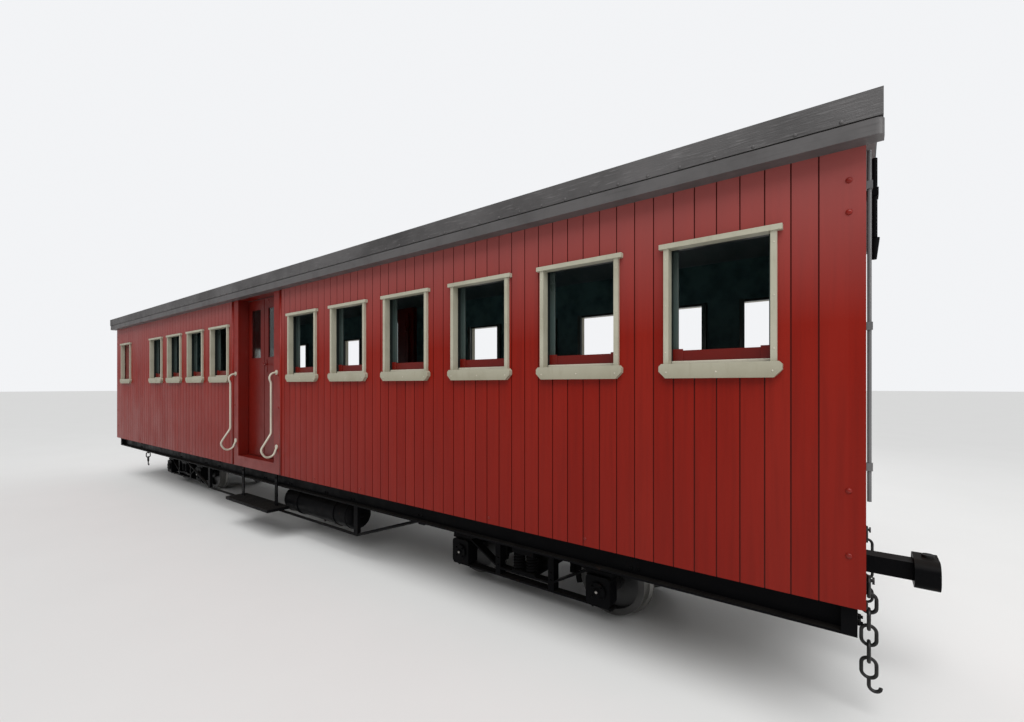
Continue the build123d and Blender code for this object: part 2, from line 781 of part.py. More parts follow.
for end, sign in ENDS:
    with BuildPart() as chains:
        link_straight = chain_link_length - chain_link_width
        link_pitch = chain_link_length - 2 * chain_wire_radius - chain_clearance
        eye_out = headstock_face_x + chain_link_width / 2 + chain_wire_radius + chain_wall_gap
        stud_z = chain_eye_z + chain_link_length / 2 - 2 * chain_wire_radius - chain_clearance
        stud_length = eye_out + chain_wire_radius + chain_wall_gap - headstock_face_x
        for side, side_sign in SIDES:
            with BuildSketch(end_plane(sign, headstock_face_x)):
                with Locations((sign * side_sign * chain_y, stud_z)):
                    Circle(chain_wire_radius)
            extrude(amount=stud_length)
            with BuildSketch(end_plane(sign, headstock_face_x + stud_length)):
                with Locations((sign * side_sign * chain_y, stud_z)):
                    Circle(chain_stud_head)
            extrude(amount=chain_stud_head_thickness)
            for i in range(chain_links):
                link_z = chain_eye_z - i * link_pitch
                turn = Plane(
                    origin=(sign * eye_out, side_sign * chain_y, link_z),
                    x_dir=(0, 0, 1),
                    z_dir=(1, 0, 0) if i % 2 == 0 else (0, 1, 0),
                )
                half_straight = link_straight / 2
                half_link = chain_link_width / 2
                with BuildLine(turn) as link_line:
                    Line((-half_straight, half_link), (half_straight, half_link))
                    ThreePointArc(
                        (half_straight, half_link),
                        (half_straight + half_link, 0),
                        (half_straight, -half_link),
                    )
                    Line((half_straight, -half_link), (-half_straight, -half_link))
                    ThreePointArc(
                        (-half_straight, -half_link),
                        (-half_straight - half_link, 0),
                        (-half_straight, half_link),
                    )
                with BuildSketch(Plane(origin=link_line.line @ 0, z_dir=link_line.line % 0)):
                    Circle(chain_wire_radius)
                sweep(path=link_line.wires()[0])
            # the last link carries a hook
            hook_top = -half_straight - half_link
            hook_low = hook_top - chain_hook_drop
            with BuildLine(turn) as hook_line:
                Line((hook_top, 0), (hook_low, 0))
                ThreePointArc(
                    (hook_low, 0),
                    (hook_low - chain_hook_radius, chain_hook_radius),
                    (hook_low, 2 * chain_hook_radius),
                )
            with BuildSketch(Plane(origin=hook_line.line @ 0, z_dir=hook_line.line % 0)):
                Circle(chain_wire_radius)
            sweep(path=hook_line.wires()[0])
    finish(chains, f"safety_chains_{end}")

# Pipes up the ends, and a bundle of lighting conduits beside each with a tapered plug at its foot
with BuildPart() as end_pipes:
    for end, sign in ENDS:
        pipe_y = -sign * end_pipe_y
        with BuildSketch(Plane.XY.offset(end_pipe_low_z)):
            with Locations((sign * (half_length + end_pipe_offset), pipe_y)):
                Circle(end_pipe_radius)
        extrude(amount=end_pipe_high_z - end_pipe_low_z)
        clip_places = (
            end_pipe_low_z + end_clip_distance,
            (end_pipe_low_z + end_pipe_high_z) / 2,
            end_pipe_high_z - end_clip_distance,
        )
        clip_depth = end_pipe_offset + end_pipe_radius + end_clip_margin
        with Locations([(sign * (half_length + clip_depth / 2), pipe_y, z) for z in clip_places]):
            Box(clip_depth, 2 * (end_pipe_radius + end_clip_margin), end_clip_height)
finish(end_pipes, "end_pipes")

with BuildPart() as end_conduits:
    for end, sign in ENDS:
        conduit_x = sign * (half_length + conduit_offset)
        conduit_y = -sign * (end_pipe_y - conduit_distance)
        conduit_low_z = end_pipe_high_z - conduit_length
        with BuildSketch(Plane.XY.offset(conduit_low_z)):
            with Locations([(conduit_x, conduit_y + i * conduit_spacing) for i in (-1, 0, 1)]):
                Circle(conduit_radius)
        extrude(amount=conduit_length)
        clip_depth = conduit_offset + conduit_radius + end_clip_margin
        clip_width = 2 * (conduit_spacing + conduit_radius + end_clip_margin)
        clip_z = end_pipe_high_z - end_clip_distance
        with Locations((sign * (half_length + clip_depth / 2), conduit_y, clip_z)):
            Box(clip_depth, clip_width, end_clip_height)
        with Locations((conduit_x, conduit_y, conduit_low_z - conduit_plug_length / 2)):
            Cone(conduit_plug_low_radius, conduit_plug_high_radius, conduit_plug_length)
finish(end_conduits, "end_conduits")

# Benches: seat places along the coach, +1 where the sitter faces the front
compartment = 2 * window_pitch
first_back = max(bay_front_x, -bay_rear_x) + bench_wall_gap
last_back = inner_half_length - bench_wall_gap
bench_rows = []
for end, sign in ENDS:
    bench_rows.append((sign * first_back, sign))
    for i in range(1, window_count // 2):
        shared_back = window_first_x - window_pitch / 2 + compartment * i
        bench_rows.append((sign * shared_back, sign))
        bench_rows.append((sign * shared_back, -sign))
    bench_rows.append((sign * last_back, -sign))

with BuildPart() as bench_seats:
    for back_x, facing in bench_rows:
        for side, sign in SIDES:
            seat_y = sign * (inner_half_width - bench_wall_gap - bench_width / 2)
            seat_x = back_x + facing * (bench_back_thickness + bench_seat_depth / 2)
            with Locations((seat_x, seat_y, floor_top_z + bench_seat_rise - bench_seat_thickness / 2)):
                Box(bench_seat_depth, bench_width, bench_seat_thickness)
finish(bench_seats, "bench_seats")

with BuildPart() as bench_backs:
    for back_x, facing in bench_rows:
        for side, sign in SIDES:
            back_y = sign * (inner_half_width - bench_wall_gap - bench_width / 2)
            mid_x = back_x + facing * bench_back_thickness / 2
            with Locations((mid_x, back_y, floor_top_z + bench_back_rise / 2)):
                Box(bench_back_thickness, bench_width, bench_back_rise)
finish(bench_backs, "bench_backs")

with BuildPart() as bench_ends:
    for back_x, facing in bench_rows:
        for side, sign in SIDES:
            near_y = inner_half_width - bench_wall_gap - bench_width + bench_end_thickness / 2
            end_x = back_x + facing * (bench_back_thickness + bench_seat_depth / 2)
            end_height = bench_seat_rise - bench_seat_thickness
            with Locations((end_x, sign * near_y, floor_top_z + end_height / 2)):
                Box(bench_seat_depth, bench_end_thickness, end_height)
finish(bench_ends, "bench_ends")


# Bogies
def level_bar(points, thickness):
    """Outline of a bent bar from its upper edge, with one height everywhere."""
    return list(points) + [(x, z - thickness) for x, z in reversed(points)]


half_base = wheelbase / 2
box_reach = half_base + frame_end_length
box_start = half_base - frame_end_length

for end, end_sign in ENDS:
    centre_x = end_sign * bogie_centre_x
    bogie = f"bogie_{end}"
    top_z = axlebox_top_z
    bar = frame_bar_thickness
    # distance along the bogie, height of the upper edge of each bent bar
    upper_bar = [
        (-box_reach, top_z + 2 * bar),
        (-box_start, top_z + 2 * bar),
        (-column_x, arch_top_z),
        (column_x, arch_top_z),
        (box_start, top_z + 2 * bar),
        (box_reach, top_z + 2 * bar),
    ]
    lower_bar = [
        (-box_reach, top_z + bar),
        (-box_start, top_z + bar),
        (-column_x, arch_low_z + bar),
        (column_x, arch_low_z + bar),
        (box_start, top_z + bar),
        (box_reach, top_z + bar),
    ]
    tie_bar = [(-box_reach, axlebox_low_z), (box_reach, axlebox_low_z)]
    with BuildPart() as frame:
        for side, sign in SIDES:
            with BuildSketch(side_plane(sign, frame_y - frame_bar_width / 2)):
                with Locations((-sign * centre_x, 0)):
                    for points in (upper_bar, lower_bar, tie_bar):
                        Polygon(*level_bar(points, bar), align=None)
                column_low_z = axlebox_low_z - bar
                for x in (-column_x, column_x):
                    with Locations((-sign * centre_x + x, (column_low_z + arch_top_z) / 2)):
                        Rectangle(column_width, arch_top_z - column_low_z)
            extrude(amount=frame_bar_width)
        with Locations((centre_x, 0, plank_top_z - plank_thickness / 2)):
            Box(plank_width, 2 * frame_y + frame_bar_width, plank_thickness)
    finish(frame, f"{bogie}_frame")

    with BuildPart() as bolster:
        with Locations((centre_x, 0, (bolster_low_z + bolster_top_z) / 2)):
            Box(bolster_width, 2 * bolster_half_length, bolster_height)
        with BuildSketch(Plane.XY.offset(bolster_top_z)):
            with Locations((centre_x, 0)):
                Circle(centre_plate_radius)
        extrude(amount=centre_plate_height)
        with BuildSketch(Plane.XY.offset(bolster_low_z)):
            with Locations((centre_x, 0)):
                Circle(pivot_pin_radius + pivot_clearance)
        extrude(amount=bolster_height + centre_plate_height, mode=Mode.SUBTRACT)
    finish(bolster, f"{bogie}_bolster")

    with BuildPart() as springs:
        spring_height = bolster_low_z - plank_top_z
        turn_pitch = spring_height / spring_turns
        for side, sign in SIDES:
            for x in (-spring_spacing / 2, spring_spacing / 2):
                spring_x = centre_x + x
                with BuildSketch(Plane.YZ.offset(spring_x)):
                    core = spring_radius - spring_wire_radius
                    with Locations((sign * frame_y + core / 2, (plank_top_z + bolster_low_z) / 2)):
                        Rectangle(core, spring_height)
                    turns = [plank_top_z + turn_pitch * (i + 0.5) for i in range(spring_turns)]
                    with Locations([(sign * frame_y + core, z) for z in turns]):
                        Circle(spring_wire_radius)
                revolve(axis=Axis((spring_x, sign * frame_y, 0), (0, 0, 1)))
    finish(springs, f"{bogie}_springs")

    with BuildPart() as axleboxes:
        for axle_sign in (1, -1):
            axle_x = centre_x + axle_sign * half_base
            for side, sign in SIDES:
                inner_y = frame_y - axlebox_depth / 2
                with BuildSketch(side_plane(sign, inner_y)):
                    with Locations((-sign * axle_x, axle_z)):
                        RectangleRounded(axlebox_length, axlebox_height, axlebox_corner)
                extrude(amount=axlebox_depth)
                with BuildSketch(side_plane(sign, inner_y + axlebox_depth)):
                    with Locations((-sign * axle_x, axle_z)):
                        Circle(axlebox_lid_radius)
                extrude(amount=axlebox_lid_thickness)
                with BuildSketch(side_plane(sign, inner_y)):
                    with Locations((-sign * axle_x, axle_z)):
                        Circle(journal_radius + journal_clearance)
                extrude(amount=journal_end_y + journal_end_gap - inner_y, mode=Mode.SUBTRACT)
    finish(axleboxes, f"{bogie}_axleboxes")

    with BuildPart() as brakes:
        beam_offset = wheel_radius + brake_block_gap + brake_block_thickness + brake_beam_size / 2
        for axle_sign in (1, -1):
            axle_x = centre_x + axle_sign * half_base
            beam_x = axle_x - axle_sign * beam_offset
            hanger_y = half_gauge + brake_block_width + brake_hanger_width
            bar_top_z = arch_top_z - brake_hanger_drop
            with Locations((beam_x, 0, axle_z)):
                Box(brake_beam_size, 2 * hanger_y, brake_beam_size)
            with Locations((beam_x, 0, bar_top_z)):
                Box(brake_beam_size / 2, 2 * frame_y - frame_bar_width, brake_beam_size / 2)
            for side, sign in SIDES:
                with Locations((beam_x, sign * hanger_y, (axle_z + bar_top_z) / 2)):
                    Box(brake_beam_size, brake_hanger_width, bar_top_z - axle_z + brake_beam_size)
                with BuildSketch(side_plane(sign, half_gauge + brake_block_offset)):
                    with Locations((-sign * axle_x, axle_z)):
                        Circle(wheel_radius + brake_block_gap + brake_block_thickness)
                        Circle(wheel_radius + brake_block_gap, mode=Mode.SUBTRACT)
                        wedge = wheel_radius * 2
                        spread = math.radians(brake_block_angle / 2)
                        toward = sign * axle_sign
                        Polygon(
                            (0, 0),
                            (toward * wedge * math.cos(spread), wedge * math.sin(spread)),
                            (toward * wedge * math.cos(spread), -wedge * math.sin(spread)),
                            align=None,
                            mode=Mode.INTERSECT,
                        )
                extrude(amount=brake_block_width)
    finish(brakes, f"{bogie}_brakes")

    for axle_name, axle_sign in ENDS:
        axle_x = centre_x + axle_sign * half_base
        back_y = wheel_back_y
        tip_radius = wheel_radius + flange_height
        rim_inner = wheel_radius - rim_depth
        web_y = back_y + (tyre_width - web_thickness) / 2
        hub_y = web_y + web_thickness / 2 - hub_length / 2
        # distance from the centre line, radius
        half_profile = (
            (0, 0),
            (0, axle_radius),
            (hub_y, axle_radius),
            (hub_y, hub_radius),
            (web_y, hub_radius),
            (web_y, rim_inner),
            (back_y, rim_inner),
            (back_y, tip_radius - flange_bevel),
            (back_y + flange_bevel, tip_radius),
            (back_y + flange_bevel + flange_tip_width, tip_radius - flange_tip_drop),
            (half_gauge, wheel_radius + flange_root_rise),
            (half_gauge + flange_root_width, wheel_radius),
            (wheel_outer_y, wheel_radius - tread_taper),
            (wheel_outer_y, rim_inner),
            (web_y + web_thickness, rim_inner),
            (web_y + web_thickness, hub_radius),
            (hub_y + hub_length, hub_radius),
            (hub_y + hub_length, journal_radius),
            (journal_end_y, journal_radius),
            (journal_end_y, 0),
        )
        with BuildPart() as wheelset:
            with BuildSketch(Plane.YZ.offset(axle_x)):
                with Locations((0, axle_z)):
                    Polygon(*half_profile, align=None)
                    Polygon(*[(-y, r) for y, r in half_profile], align=None)
            revolve(axis=Axis((axle_x, 0, axle_z), (0, 1, 0)))
        finish(wheelset, f"{bogie}_wheelset_{axle_name}")
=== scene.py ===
import bmesh
import bpy
import math
from mathutils import Matrix, Vector


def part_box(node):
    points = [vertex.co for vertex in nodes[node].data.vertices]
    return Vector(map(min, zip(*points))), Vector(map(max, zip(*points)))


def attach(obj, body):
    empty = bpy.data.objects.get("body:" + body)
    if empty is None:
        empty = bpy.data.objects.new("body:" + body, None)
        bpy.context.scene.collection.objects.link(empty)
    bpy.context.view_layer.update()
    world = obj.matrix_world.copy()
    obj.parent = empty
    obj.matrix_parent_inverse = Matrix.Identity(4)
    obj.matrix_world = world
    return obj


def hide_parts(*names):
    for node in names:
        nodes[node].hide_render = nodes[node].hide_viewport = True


# Looks of a narrow gauge passenger coach. Metres, +X to the front end, +Y to the left side, +Z up.

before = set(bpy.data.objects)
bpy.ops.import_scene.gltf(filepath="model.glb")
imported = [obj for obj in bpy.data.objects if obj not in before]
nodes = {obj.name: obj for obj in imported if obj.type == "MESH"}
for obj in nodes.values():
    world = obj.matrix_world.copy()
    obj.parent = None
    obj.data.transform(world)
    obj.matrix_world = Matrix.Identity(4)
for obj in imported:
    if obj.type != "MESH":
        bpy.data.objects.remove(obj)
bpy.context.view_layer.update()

# Direction of each side along Y and of each end along X
SIDES = {"left": 1, "right": -1}
ENDS = {"front": 1, "rear": -1}


def low(node):
    """Lowest corner of a node of the frame."""
    return Vector(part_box(node)[0])


def high(node):
    """Highest corner of a node of the frame."""
    return Vector(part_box(node)[1])


def middle(corner_low, corner_high):
    """Middle of a box."""
    return (corner_low + corner_high) / 2


def solid_boxes(node):
    """Boxes of the separate solids of a node, in order along X."""
    bm = bmesh.new()
    bm.from_mesh(nodes[node].data)
    bm.transform(nodes[node].matrix_world)
    bmesh.ops.remove_doubles(bm, verts=bm.verts, dist=1e-5)
    seen = set()
    boxes = []
    for start in bm.verts:
        if start in seen:
            continue
        seen.add(start)
        waiting = [start]
        points = []
        while waiting:
            vert = waiting.pop()
            points.append(vert.co.copy())
            for edge in vert.link_edges:
                other = edge.other_vert(vert)
                if other not in seen:
                    seen.add(other)
                    waiting.append(other)
        boxes.append(
            (
                Vector([min(point[i] for point in points) for i in range(3)]),
                Vector([max(point[i] for point in points) for i in range(3)]),
            )
        )
    bm.free()
    return sorted(boxes, key=lambda box: (round(box[0].x, 3), box[0].y, box[0].z))


# Sizes read from the frame
half_length = high("side_wall_left_front").x
half_width = high("side_wall_left_front").y
wall_thickness = half_width - low("side_wall_left_front").y
side_low_z = low("side_wall_left_front").z
eave_z = high("side_wall_left_front").z
cornice_low_z = low("cornices").z
roof_edge_y = high("roof").y
bay_front_x = high("door_frame_right").x
bay_rear_x = low("door_frame_right").x
window_frame_low_z = low("window_frames_right").z
bogie_centre_x = middle(low("bogie_front_frame"), high("bogie_front_frame")).x

# Sizes shared with the frame that no box of it gives
window_width = 0.480
window_height = 0.615
cream_reveal = 0.030
sash_rail_height = 0.075
casing_projection = 0.022
sill_height = 0.077
sill_projection = 0.032
corner_board = 0.170
board_pitch = 0.108
door_meeting_stile = 0.083
door_light_width = 0.241
door_light_height = 0.592
door_light_drop = 0.116
door_light_z = cornice_low_z - door_light_drop - door_light_height / 2
bogie_side_y = 0.555
arch_bar = 0.016
arch_bar_width = 0.070
column_x = 0.250
rim_inner_radius = 0.200
tread_inner_radius = 0.245
coupler_z = 0.635
truss_anchor_half = 0.035
truss_rise = 0.312
truss_rod_radius = 0.014
step_top_z = 0.350
step_iron_inset = 0.038
step_iron_y = half_width - step_iron_inset

# Camera at the photograph's viewpoint
camera_place = Vector((5.554, -3.503, 1.685))
camera_heading = math.radians(36.9)
camera_lens = 16.3
camera_sensor_width = 36.0
camera_shift_y = 0.0239
camera_near = 0.05
camera_far = 200.0

camera_data = bpy.data.cameras.new("camera")
camera_data.lens = camera_lens
camera_data.sensor_width = camera_sensor_width
camera_data.sensor_fit = "HORIZONTAL"
camera_data.shift_y = camera_shift_y
camera_data.clip_start = camera_near
camera_data.clip_end = camera_far
camera = bpy.data.objects.new("camera", camera_data)
camera.location = camera_place
camera.rotation_euler = (math.radians(90), 0, camera_heading)
bpy.context.scene.collection.objects.link(camera)
bpy.context.scene.camera = camera


# Node helpers
def start_material(name, roughness, metallic=0.0, coat=0.0, coat_roughness=0.1):
    """A new node material and its tree and shader, with the uniform values on the shader's own sockets."""
    mat = bpy.data.materials.new(name)
    mat.use_nodes = True
    tree = mat.node_tree
    shader = tree.nodes["Principled BSDF"]
    shader.inputs["Roughness"].default_value = roughness
    shader.inputs["Metallic"].default_value = metallic
    shader.inputs["Coat Weight"].default_value = coat
    shader.inputs["Coat Roughness"].default_value = coat_roughness
    return mat, tree, shader


def place(tree, source, socket):
    """Connect a node, socket or plain value to an input socket."""
    if isinstance(source, bpy.types.NodeSocket):
        tree.links.new(source, socket)
    elif isinstance(source, bpy.types.Node):
        tree.links.new(source.outputs[0], socket)
    elif isinstance(source, (tuple, list)) and len(source) == 3 and socket.type == "RGBA":
        socket.default_value = (*source, 1.0)
    else:
        socket.default_value = source


def calc(tree, operation, a, b=0.0, c=0.0):
    """One maths node."""
    node = tree.nodes.new("ShaderNodeMath")
    node.operation = operation
    for value, socket in zip((a, b, c), node.inputs):
        place(tree, value, socket)
    return node.outputs[0]


def blend_colors(tree, amount, first, second):
    """One colour mix."""
    node = tree.nodes.new("ShaderNodeMix")
    node.data_type = "RGBA"
    place(tree, amount, node.inputs[0])
    place(tree, first, node.inputs[6])
    place(tree, second, node.inputs[7])
    return node.outputs[2]


def remap(tree, value, from_low, from_high, to_low=0.0, to_high=1.0):
    """Clamped linear map of a value."""
    node = tree.nodes.new("ShaderNodeMapRange")
    place(tree, value, node.inputs[0])
    for number, socket in zip((from_low, from_high, to_low, to_high), list(node.inputs)[1:5]):
        place(tree, number, socket)
    return node.outputs[0]


def coordinates(tree, scale=(1, 1, 1)):
    """Object coordinates, stretched."""
    coords = tree.nodes.new("ShaderNodeTexCoord")
    mapping = tree.nodes.new("ShaderNodeMapping")
    mapping.inputs["Scale"].default_value = scale
    tree.links.new(coords.outputs["Object"], mapping.inputs["Vector"])
    return mapping.outputs[0]


def axes(tree):
    """X, Y and Z of the object coordinates."""
    coords = tree.nodes.new("ShaderNodeTexCoord")
    split = tree.nodes.new("ShaderNodeSeparateXYZ")
    tree.links.new(coords.outputs["Object"], split.inputs[0])
    return split.outputs[0], split.outputs[1], split.outputs[2]


def noise(tree, scale, stretch=(1, 1, 1), detail=4.0, roughness=0.6):
    """Noise between 0 and 1 in object space."""
    node = tree.nodes.new("ShaderNodeTexNoise")
    node.inputs["Scale"].default_value = scale
    node.inputs["Detail"].default_value = detail
    node.inputs["Roughness"].default_value = roughness
    tree.links.new(coordinates(tree, stretch), node.inputs["Vector"])
    return node.outputs["Fac"]


def spots(tree, scale):
    """Distance to scattered points in object space."""
    node = tree.nodes.new("ShaderNodeTexVoronoi")
    node.inputs["Scale"].default_value = scale
    tree.links.new(coordinates(tree), node.inputs["Vector"])
    return node.outputs["Distance"]


def bump(tree, shader, height, distance):
    """Height to the shader's normal."""
    node = tree.nodes.new("ShaderNodeBump")
    node.inputs["Strength"].default_value = 1.0
    node.inputs["Distance"].default_value = distance
    place(tree, height, node.inputs["Height"])
    tree.links.new(node.outputs[0], shader.inputs["Normal"])


# Colours, linear
RED = (0.215, 0.008, 0.003)
RED_DARK = (0.080, 0.005, 0.003)
RED_PALE = (0.320, 0.028, 0.017)
RED_SHEEN = (0.330, 0.100, 0.094)
GROOVE = (0.070, 0.006, 0.004)
CREAM = (0.430, 0.415, 0.325)
CREAM_DARK = (0.200, 0.175, 0.115)
CREAM_BRIGHT = (0.520, 0.490, 0.400)
GREEN = (0.070, 0.140, 0.142)
GREEN_DARK = (0.032, 0.070, 0.076)
GUIDE = (0.060, 0.080, 0.072)
REVEAL_SHADE = (0.010, 0.014, 0.013)
CEILING = (0.130, 0.165, 0.175)
ROOF = (0.105, 0.100, 0.100)
ROOF_DARK = (0.045, 0.042, 0.042)
ROOF_PALE = (0.230, 0.222, 0.222)
ROOF_SPOT = (0.006, 0.006, 0.006)
BLACK = (0.0035, 0.0035, 0.0040)
DUST = (0.060, 0.053, 0.045)
RUST = (0.060, 0.026, 0.014)
STEEL = (0.200, 0.195, 0.185)
RIM_SHADED = (0.034, 0.032, 0.030)
RIM_SHADED_DARK = (0.016, 0.015, 0.014)
CHAIN = (0.028, 0.027, 0.027)
BRIGHT_STEEL = (0.420, 0.400, 0.370)
PIPE = (0.120, 0.118, 0.120)
PIPE_DARK = (0.045, 0.043, 0.044)
FLOOR_WOOD = (0.170, 0.115, 0.070)
FLOOR_WOOD_DARK = (0.050, 0.033, 0.020)
PLANK_JOINT = (0.010, 0.008, 0.006)
BENCH_WOOD = (0.270, 0.120, 0.045)
BENCH_WOOD_DARK = (0.110, 0.042, 0.016)
GLASS = (0.340, 0.380, 0.370)
GLASS_DARK = (0.260, 0.300, 0.290)
GROUND = (0.810, 0.810, 0.800)
GROUND_DARK = (0.770, 0.770, 0.760)

# Depth below a face at which its grooves and its back take another colour
groove_margin = 0.0015
back_margin = 0.002

# Heights above the foot of the sides where the darkening towards the bottom ends and the painted sheen starts
low_darkening_rise = 1.10
sheen_rise = 1.25


def board_material(name, start, pitch, axis, limit):
    """Red paint on upright boards whose joints run from start on, darker towards the bottom, with a painted
    sheen high up, and green inside.
    """
    mat, tree, shader = start_material(name, 0.38, coat=0.04, coat_roughness=0.18)
    shader.inputs["Specular IOR Level"].default_value = 0.12
    x, y, z = axes(tree)
    along, across = (x, y) if axis == "x" else (y, x)
    face = half_width if axis == "x" else half_length
    steps = calc(tree, "DIVIDE", calc(tree, "SUBTRACT", along, start), pitch)
    index = calc(tree, "FLOOR", steps)
    fraction = calc(tree, "FRACT", steps)
    chance = tree.nodes.new("ShaderNodeTexWhiteNoise")
    chance.noise_dimensions = "1D"
    place(tree, index, chance.inputs["W"])
    board = remap(tree, chance.outputs["Value"], 0.0, 1.0, 0.0, 0.26)
    streak = noise(tree, 1.0, (34, 34, 1.4), 5.0, 0.55)
    patch = noise(tree, 0.9, (1, 1, 0.6), 3.0)
    color = blend_colors(tree, board, RED, RED_PALE)
    color = blend_colors(tree, remap(tree, streak, 0.42, 0.72, 0.0, 0.28), color, RED_DARK)
    color = blend_colors(tree, remap(tree, patch, 0.45, 0.7, 0.0, 0.16), color, RED_PALE)
    low_darkening_top_z = side_low_z + low_darkening_rise
    sheen_low_z = side_low_z + sheen_rise
    # Darker towards the bottom of the sides
    color = blend_colors(tree, remap(tree, z, side_low_z, low_darkening_top_z, 0.30, 0.0), color, RED_DARK)
    # Painted sheen: the boards grow paler towards the top, where their gloss reflects the bright surroundings
    color = blend_colors(tree, remap(tree, z, sheen_low_z, cornice_low_z, 0.0, 0.74), color, RED_SHEEN)
    edge = calc(tree, "ABSOLUTE", calc(tree, "SUBTRACT", fraction, 0.5))
    boarded = calc(tree, "LESS_THAN", calc(tree, "ABSOLUTE", along), limit)
    joint_shade = calc(tree, "MULTIPLY", remap(tree, edge, 0.470, 0.498, 0.0, 0.50), boarded)
    color = blend_colors(tree, joint_shade, color, RED_DARK)
    depth = calc(tree, "ABSOLUTE", across)
    in_groove = calc(tree, "LESS_THAN", depth, face - groove_margin)
    color = blend_colors(tree, in_groove, color, GROOVE)
    inside = calc(tree, "LESS_THAN", depth, face - wall_thickness + back_margin)
    inner_noise = noise(tree, 6.0, (1, 1, 1), 4.0)
    inner = blend_colors(tree, remap(tree, inner_noise, 0.4, 0.7), GREEN, GREEN_DARK)
    color = blend_colors(tree, inside, color, inner)
    place(tree, color, shader.inputs["Base Color"])
    polish = noise(tree, 3.0, (1, 1, 0.5), 4.0)
    place(tree, remap(tree, polish, 0.3, 0.7, 0.28, 0.46), shader.inputs["Roughness"])
    grain = noise(tree, 1.0, (130, 130, 5), 3.0, 0.5)
    wave = noise(tree, 2.4, (2.4, 2.4, 0.7), 2.0)
    crown = calc(tree, "MULTIPLY", calc(tree, "MULTIPLY", edge, edge), calc(tree, "MULTIPLY", boarded, -2.4))
    height = calc(tree, "ADD", calc(tree, "MULTIPLY", grain, 0.10), calc(tree, "MULTIPLY", wave, 0.9))
    bump(tree, shader, calc(tree, "ADD", height, crown), 0.0016)
    return mat


def paint_material(name, color, dark, roughness, coat, grain, amount, low_darkening=None, inner=None):
    """Painted wood or steel with brush marks and uneven tone.

    The first of the two last arguments is a start height, a span and a share of the dark colour that make the
    paint darker towards the bottom; the second is a depth behind the side of the body, a colour and its
    share, painted shade on what lies deeper than that depth.
    """
    mat, tree, shader = start_material(name, roughness, coat=coat, coat_roughness=0.2)
    shader.inputs["Specular IOR Level"].default_value = 0.25
    x, y, z = axes(tree)
    tone = noise(tree, 4.0, (1, 1, 1), 5.0)
    fine = noise(tree, 1.0, grain, 4.0, 0.6)
    mixed = blend_colors(tree, remap(tree, tone, 0.45, 0.72, 0.0, amount), color, dark)
    mixed = blend_colors(tree, remap(tree, fine, 0.55, 0.78, 0.0, amount * 0.8), mixed, dark)
    # Darker towards the bottom, from a start height over a span
    if low_darkening:
        start_z, span, share = low_darkening
        mixed = blend_colors(tree, remap(tree, z, start_z, start_z + span, share, 0.0), mixed, dark)
    # Painted shade on what lies deeper than the given depth behind the side of the body
    if inner:
        depth, inner_color, share = inner
        inward = calc(tree, "LESS_THAN", calc(tree, "ABSOLUTE", y), half_width - depth)
        mixed = blend_colors(tree, calc(tree, "MULTIPLY", inward, share), mixed, inner_color)
    place(tree, mixed, shader.inputs["Base Color"])
    place(tree, remap(tree, tone, 0.3, 0.7, roughness - 0.07, roughness + 0.14), shader.inputs["Roughness"])
    relief = calc(tree, "ADD", calc(tree, "MULTIPLY", tone, 0.6), calc(tree, "MULTIPLY", fine, 0.4))
    bump(tree, shader, relief, 0.0008)
    return mat


def black_material(name):
    """Glossy black paint over rough steel, with pale dust on what faces up."""
    mat, tree, shader = start_material(name, 0.4)
    shader.inputs["Specular IOR Level"].default_value = 0.03
    geometry = tree.nodes.new("ShaderNodeNewGeometry")
    split = tree.nodes.new("ShaderNodeSeparateXYZ")
    tree.links.new(geometry.outputs["Normal"], split.inputs[0])
    facing_up = remap(tree, split.outputs[2], 0.35, 0.95)
    cloud = noise(tree, 7.0, (1, 1, 1), 6.0)
    fine = noise(tree, 60.0, (1, 1, 1), 4.0)
    dust = calc(tree, "MULTIPLY", facing_up, remap(tree, cloud, 0.35, 0.7, 0.1, 0.25))
    dust = calc(tree, "ADD", dust, remap(tree, fine, 0.6, 0.85, 0.0, 0.06))
    color = blend_colors(tree, dust, BLACK, DUST)
    rust = remap(tree, noise(tree, 11.0, (1, 1, 1), 7.0, 0.7), 0.64, 0.74, 0.0, 0.30)
    color = blend_colors(tree, rust, color, RUST)
    place(tree, color, shader.inputs["Base Color"])
    place(tree, remap(tree, cloud, 0.3, 0.7, 0.26, 0.58), shader.inputs["Roughness"])
    bump(tree, shader, calc(tree, "ADD", cloud, calc(tree, "MULTIPLY", fine, 0.35)), 0.0012)
    return mat


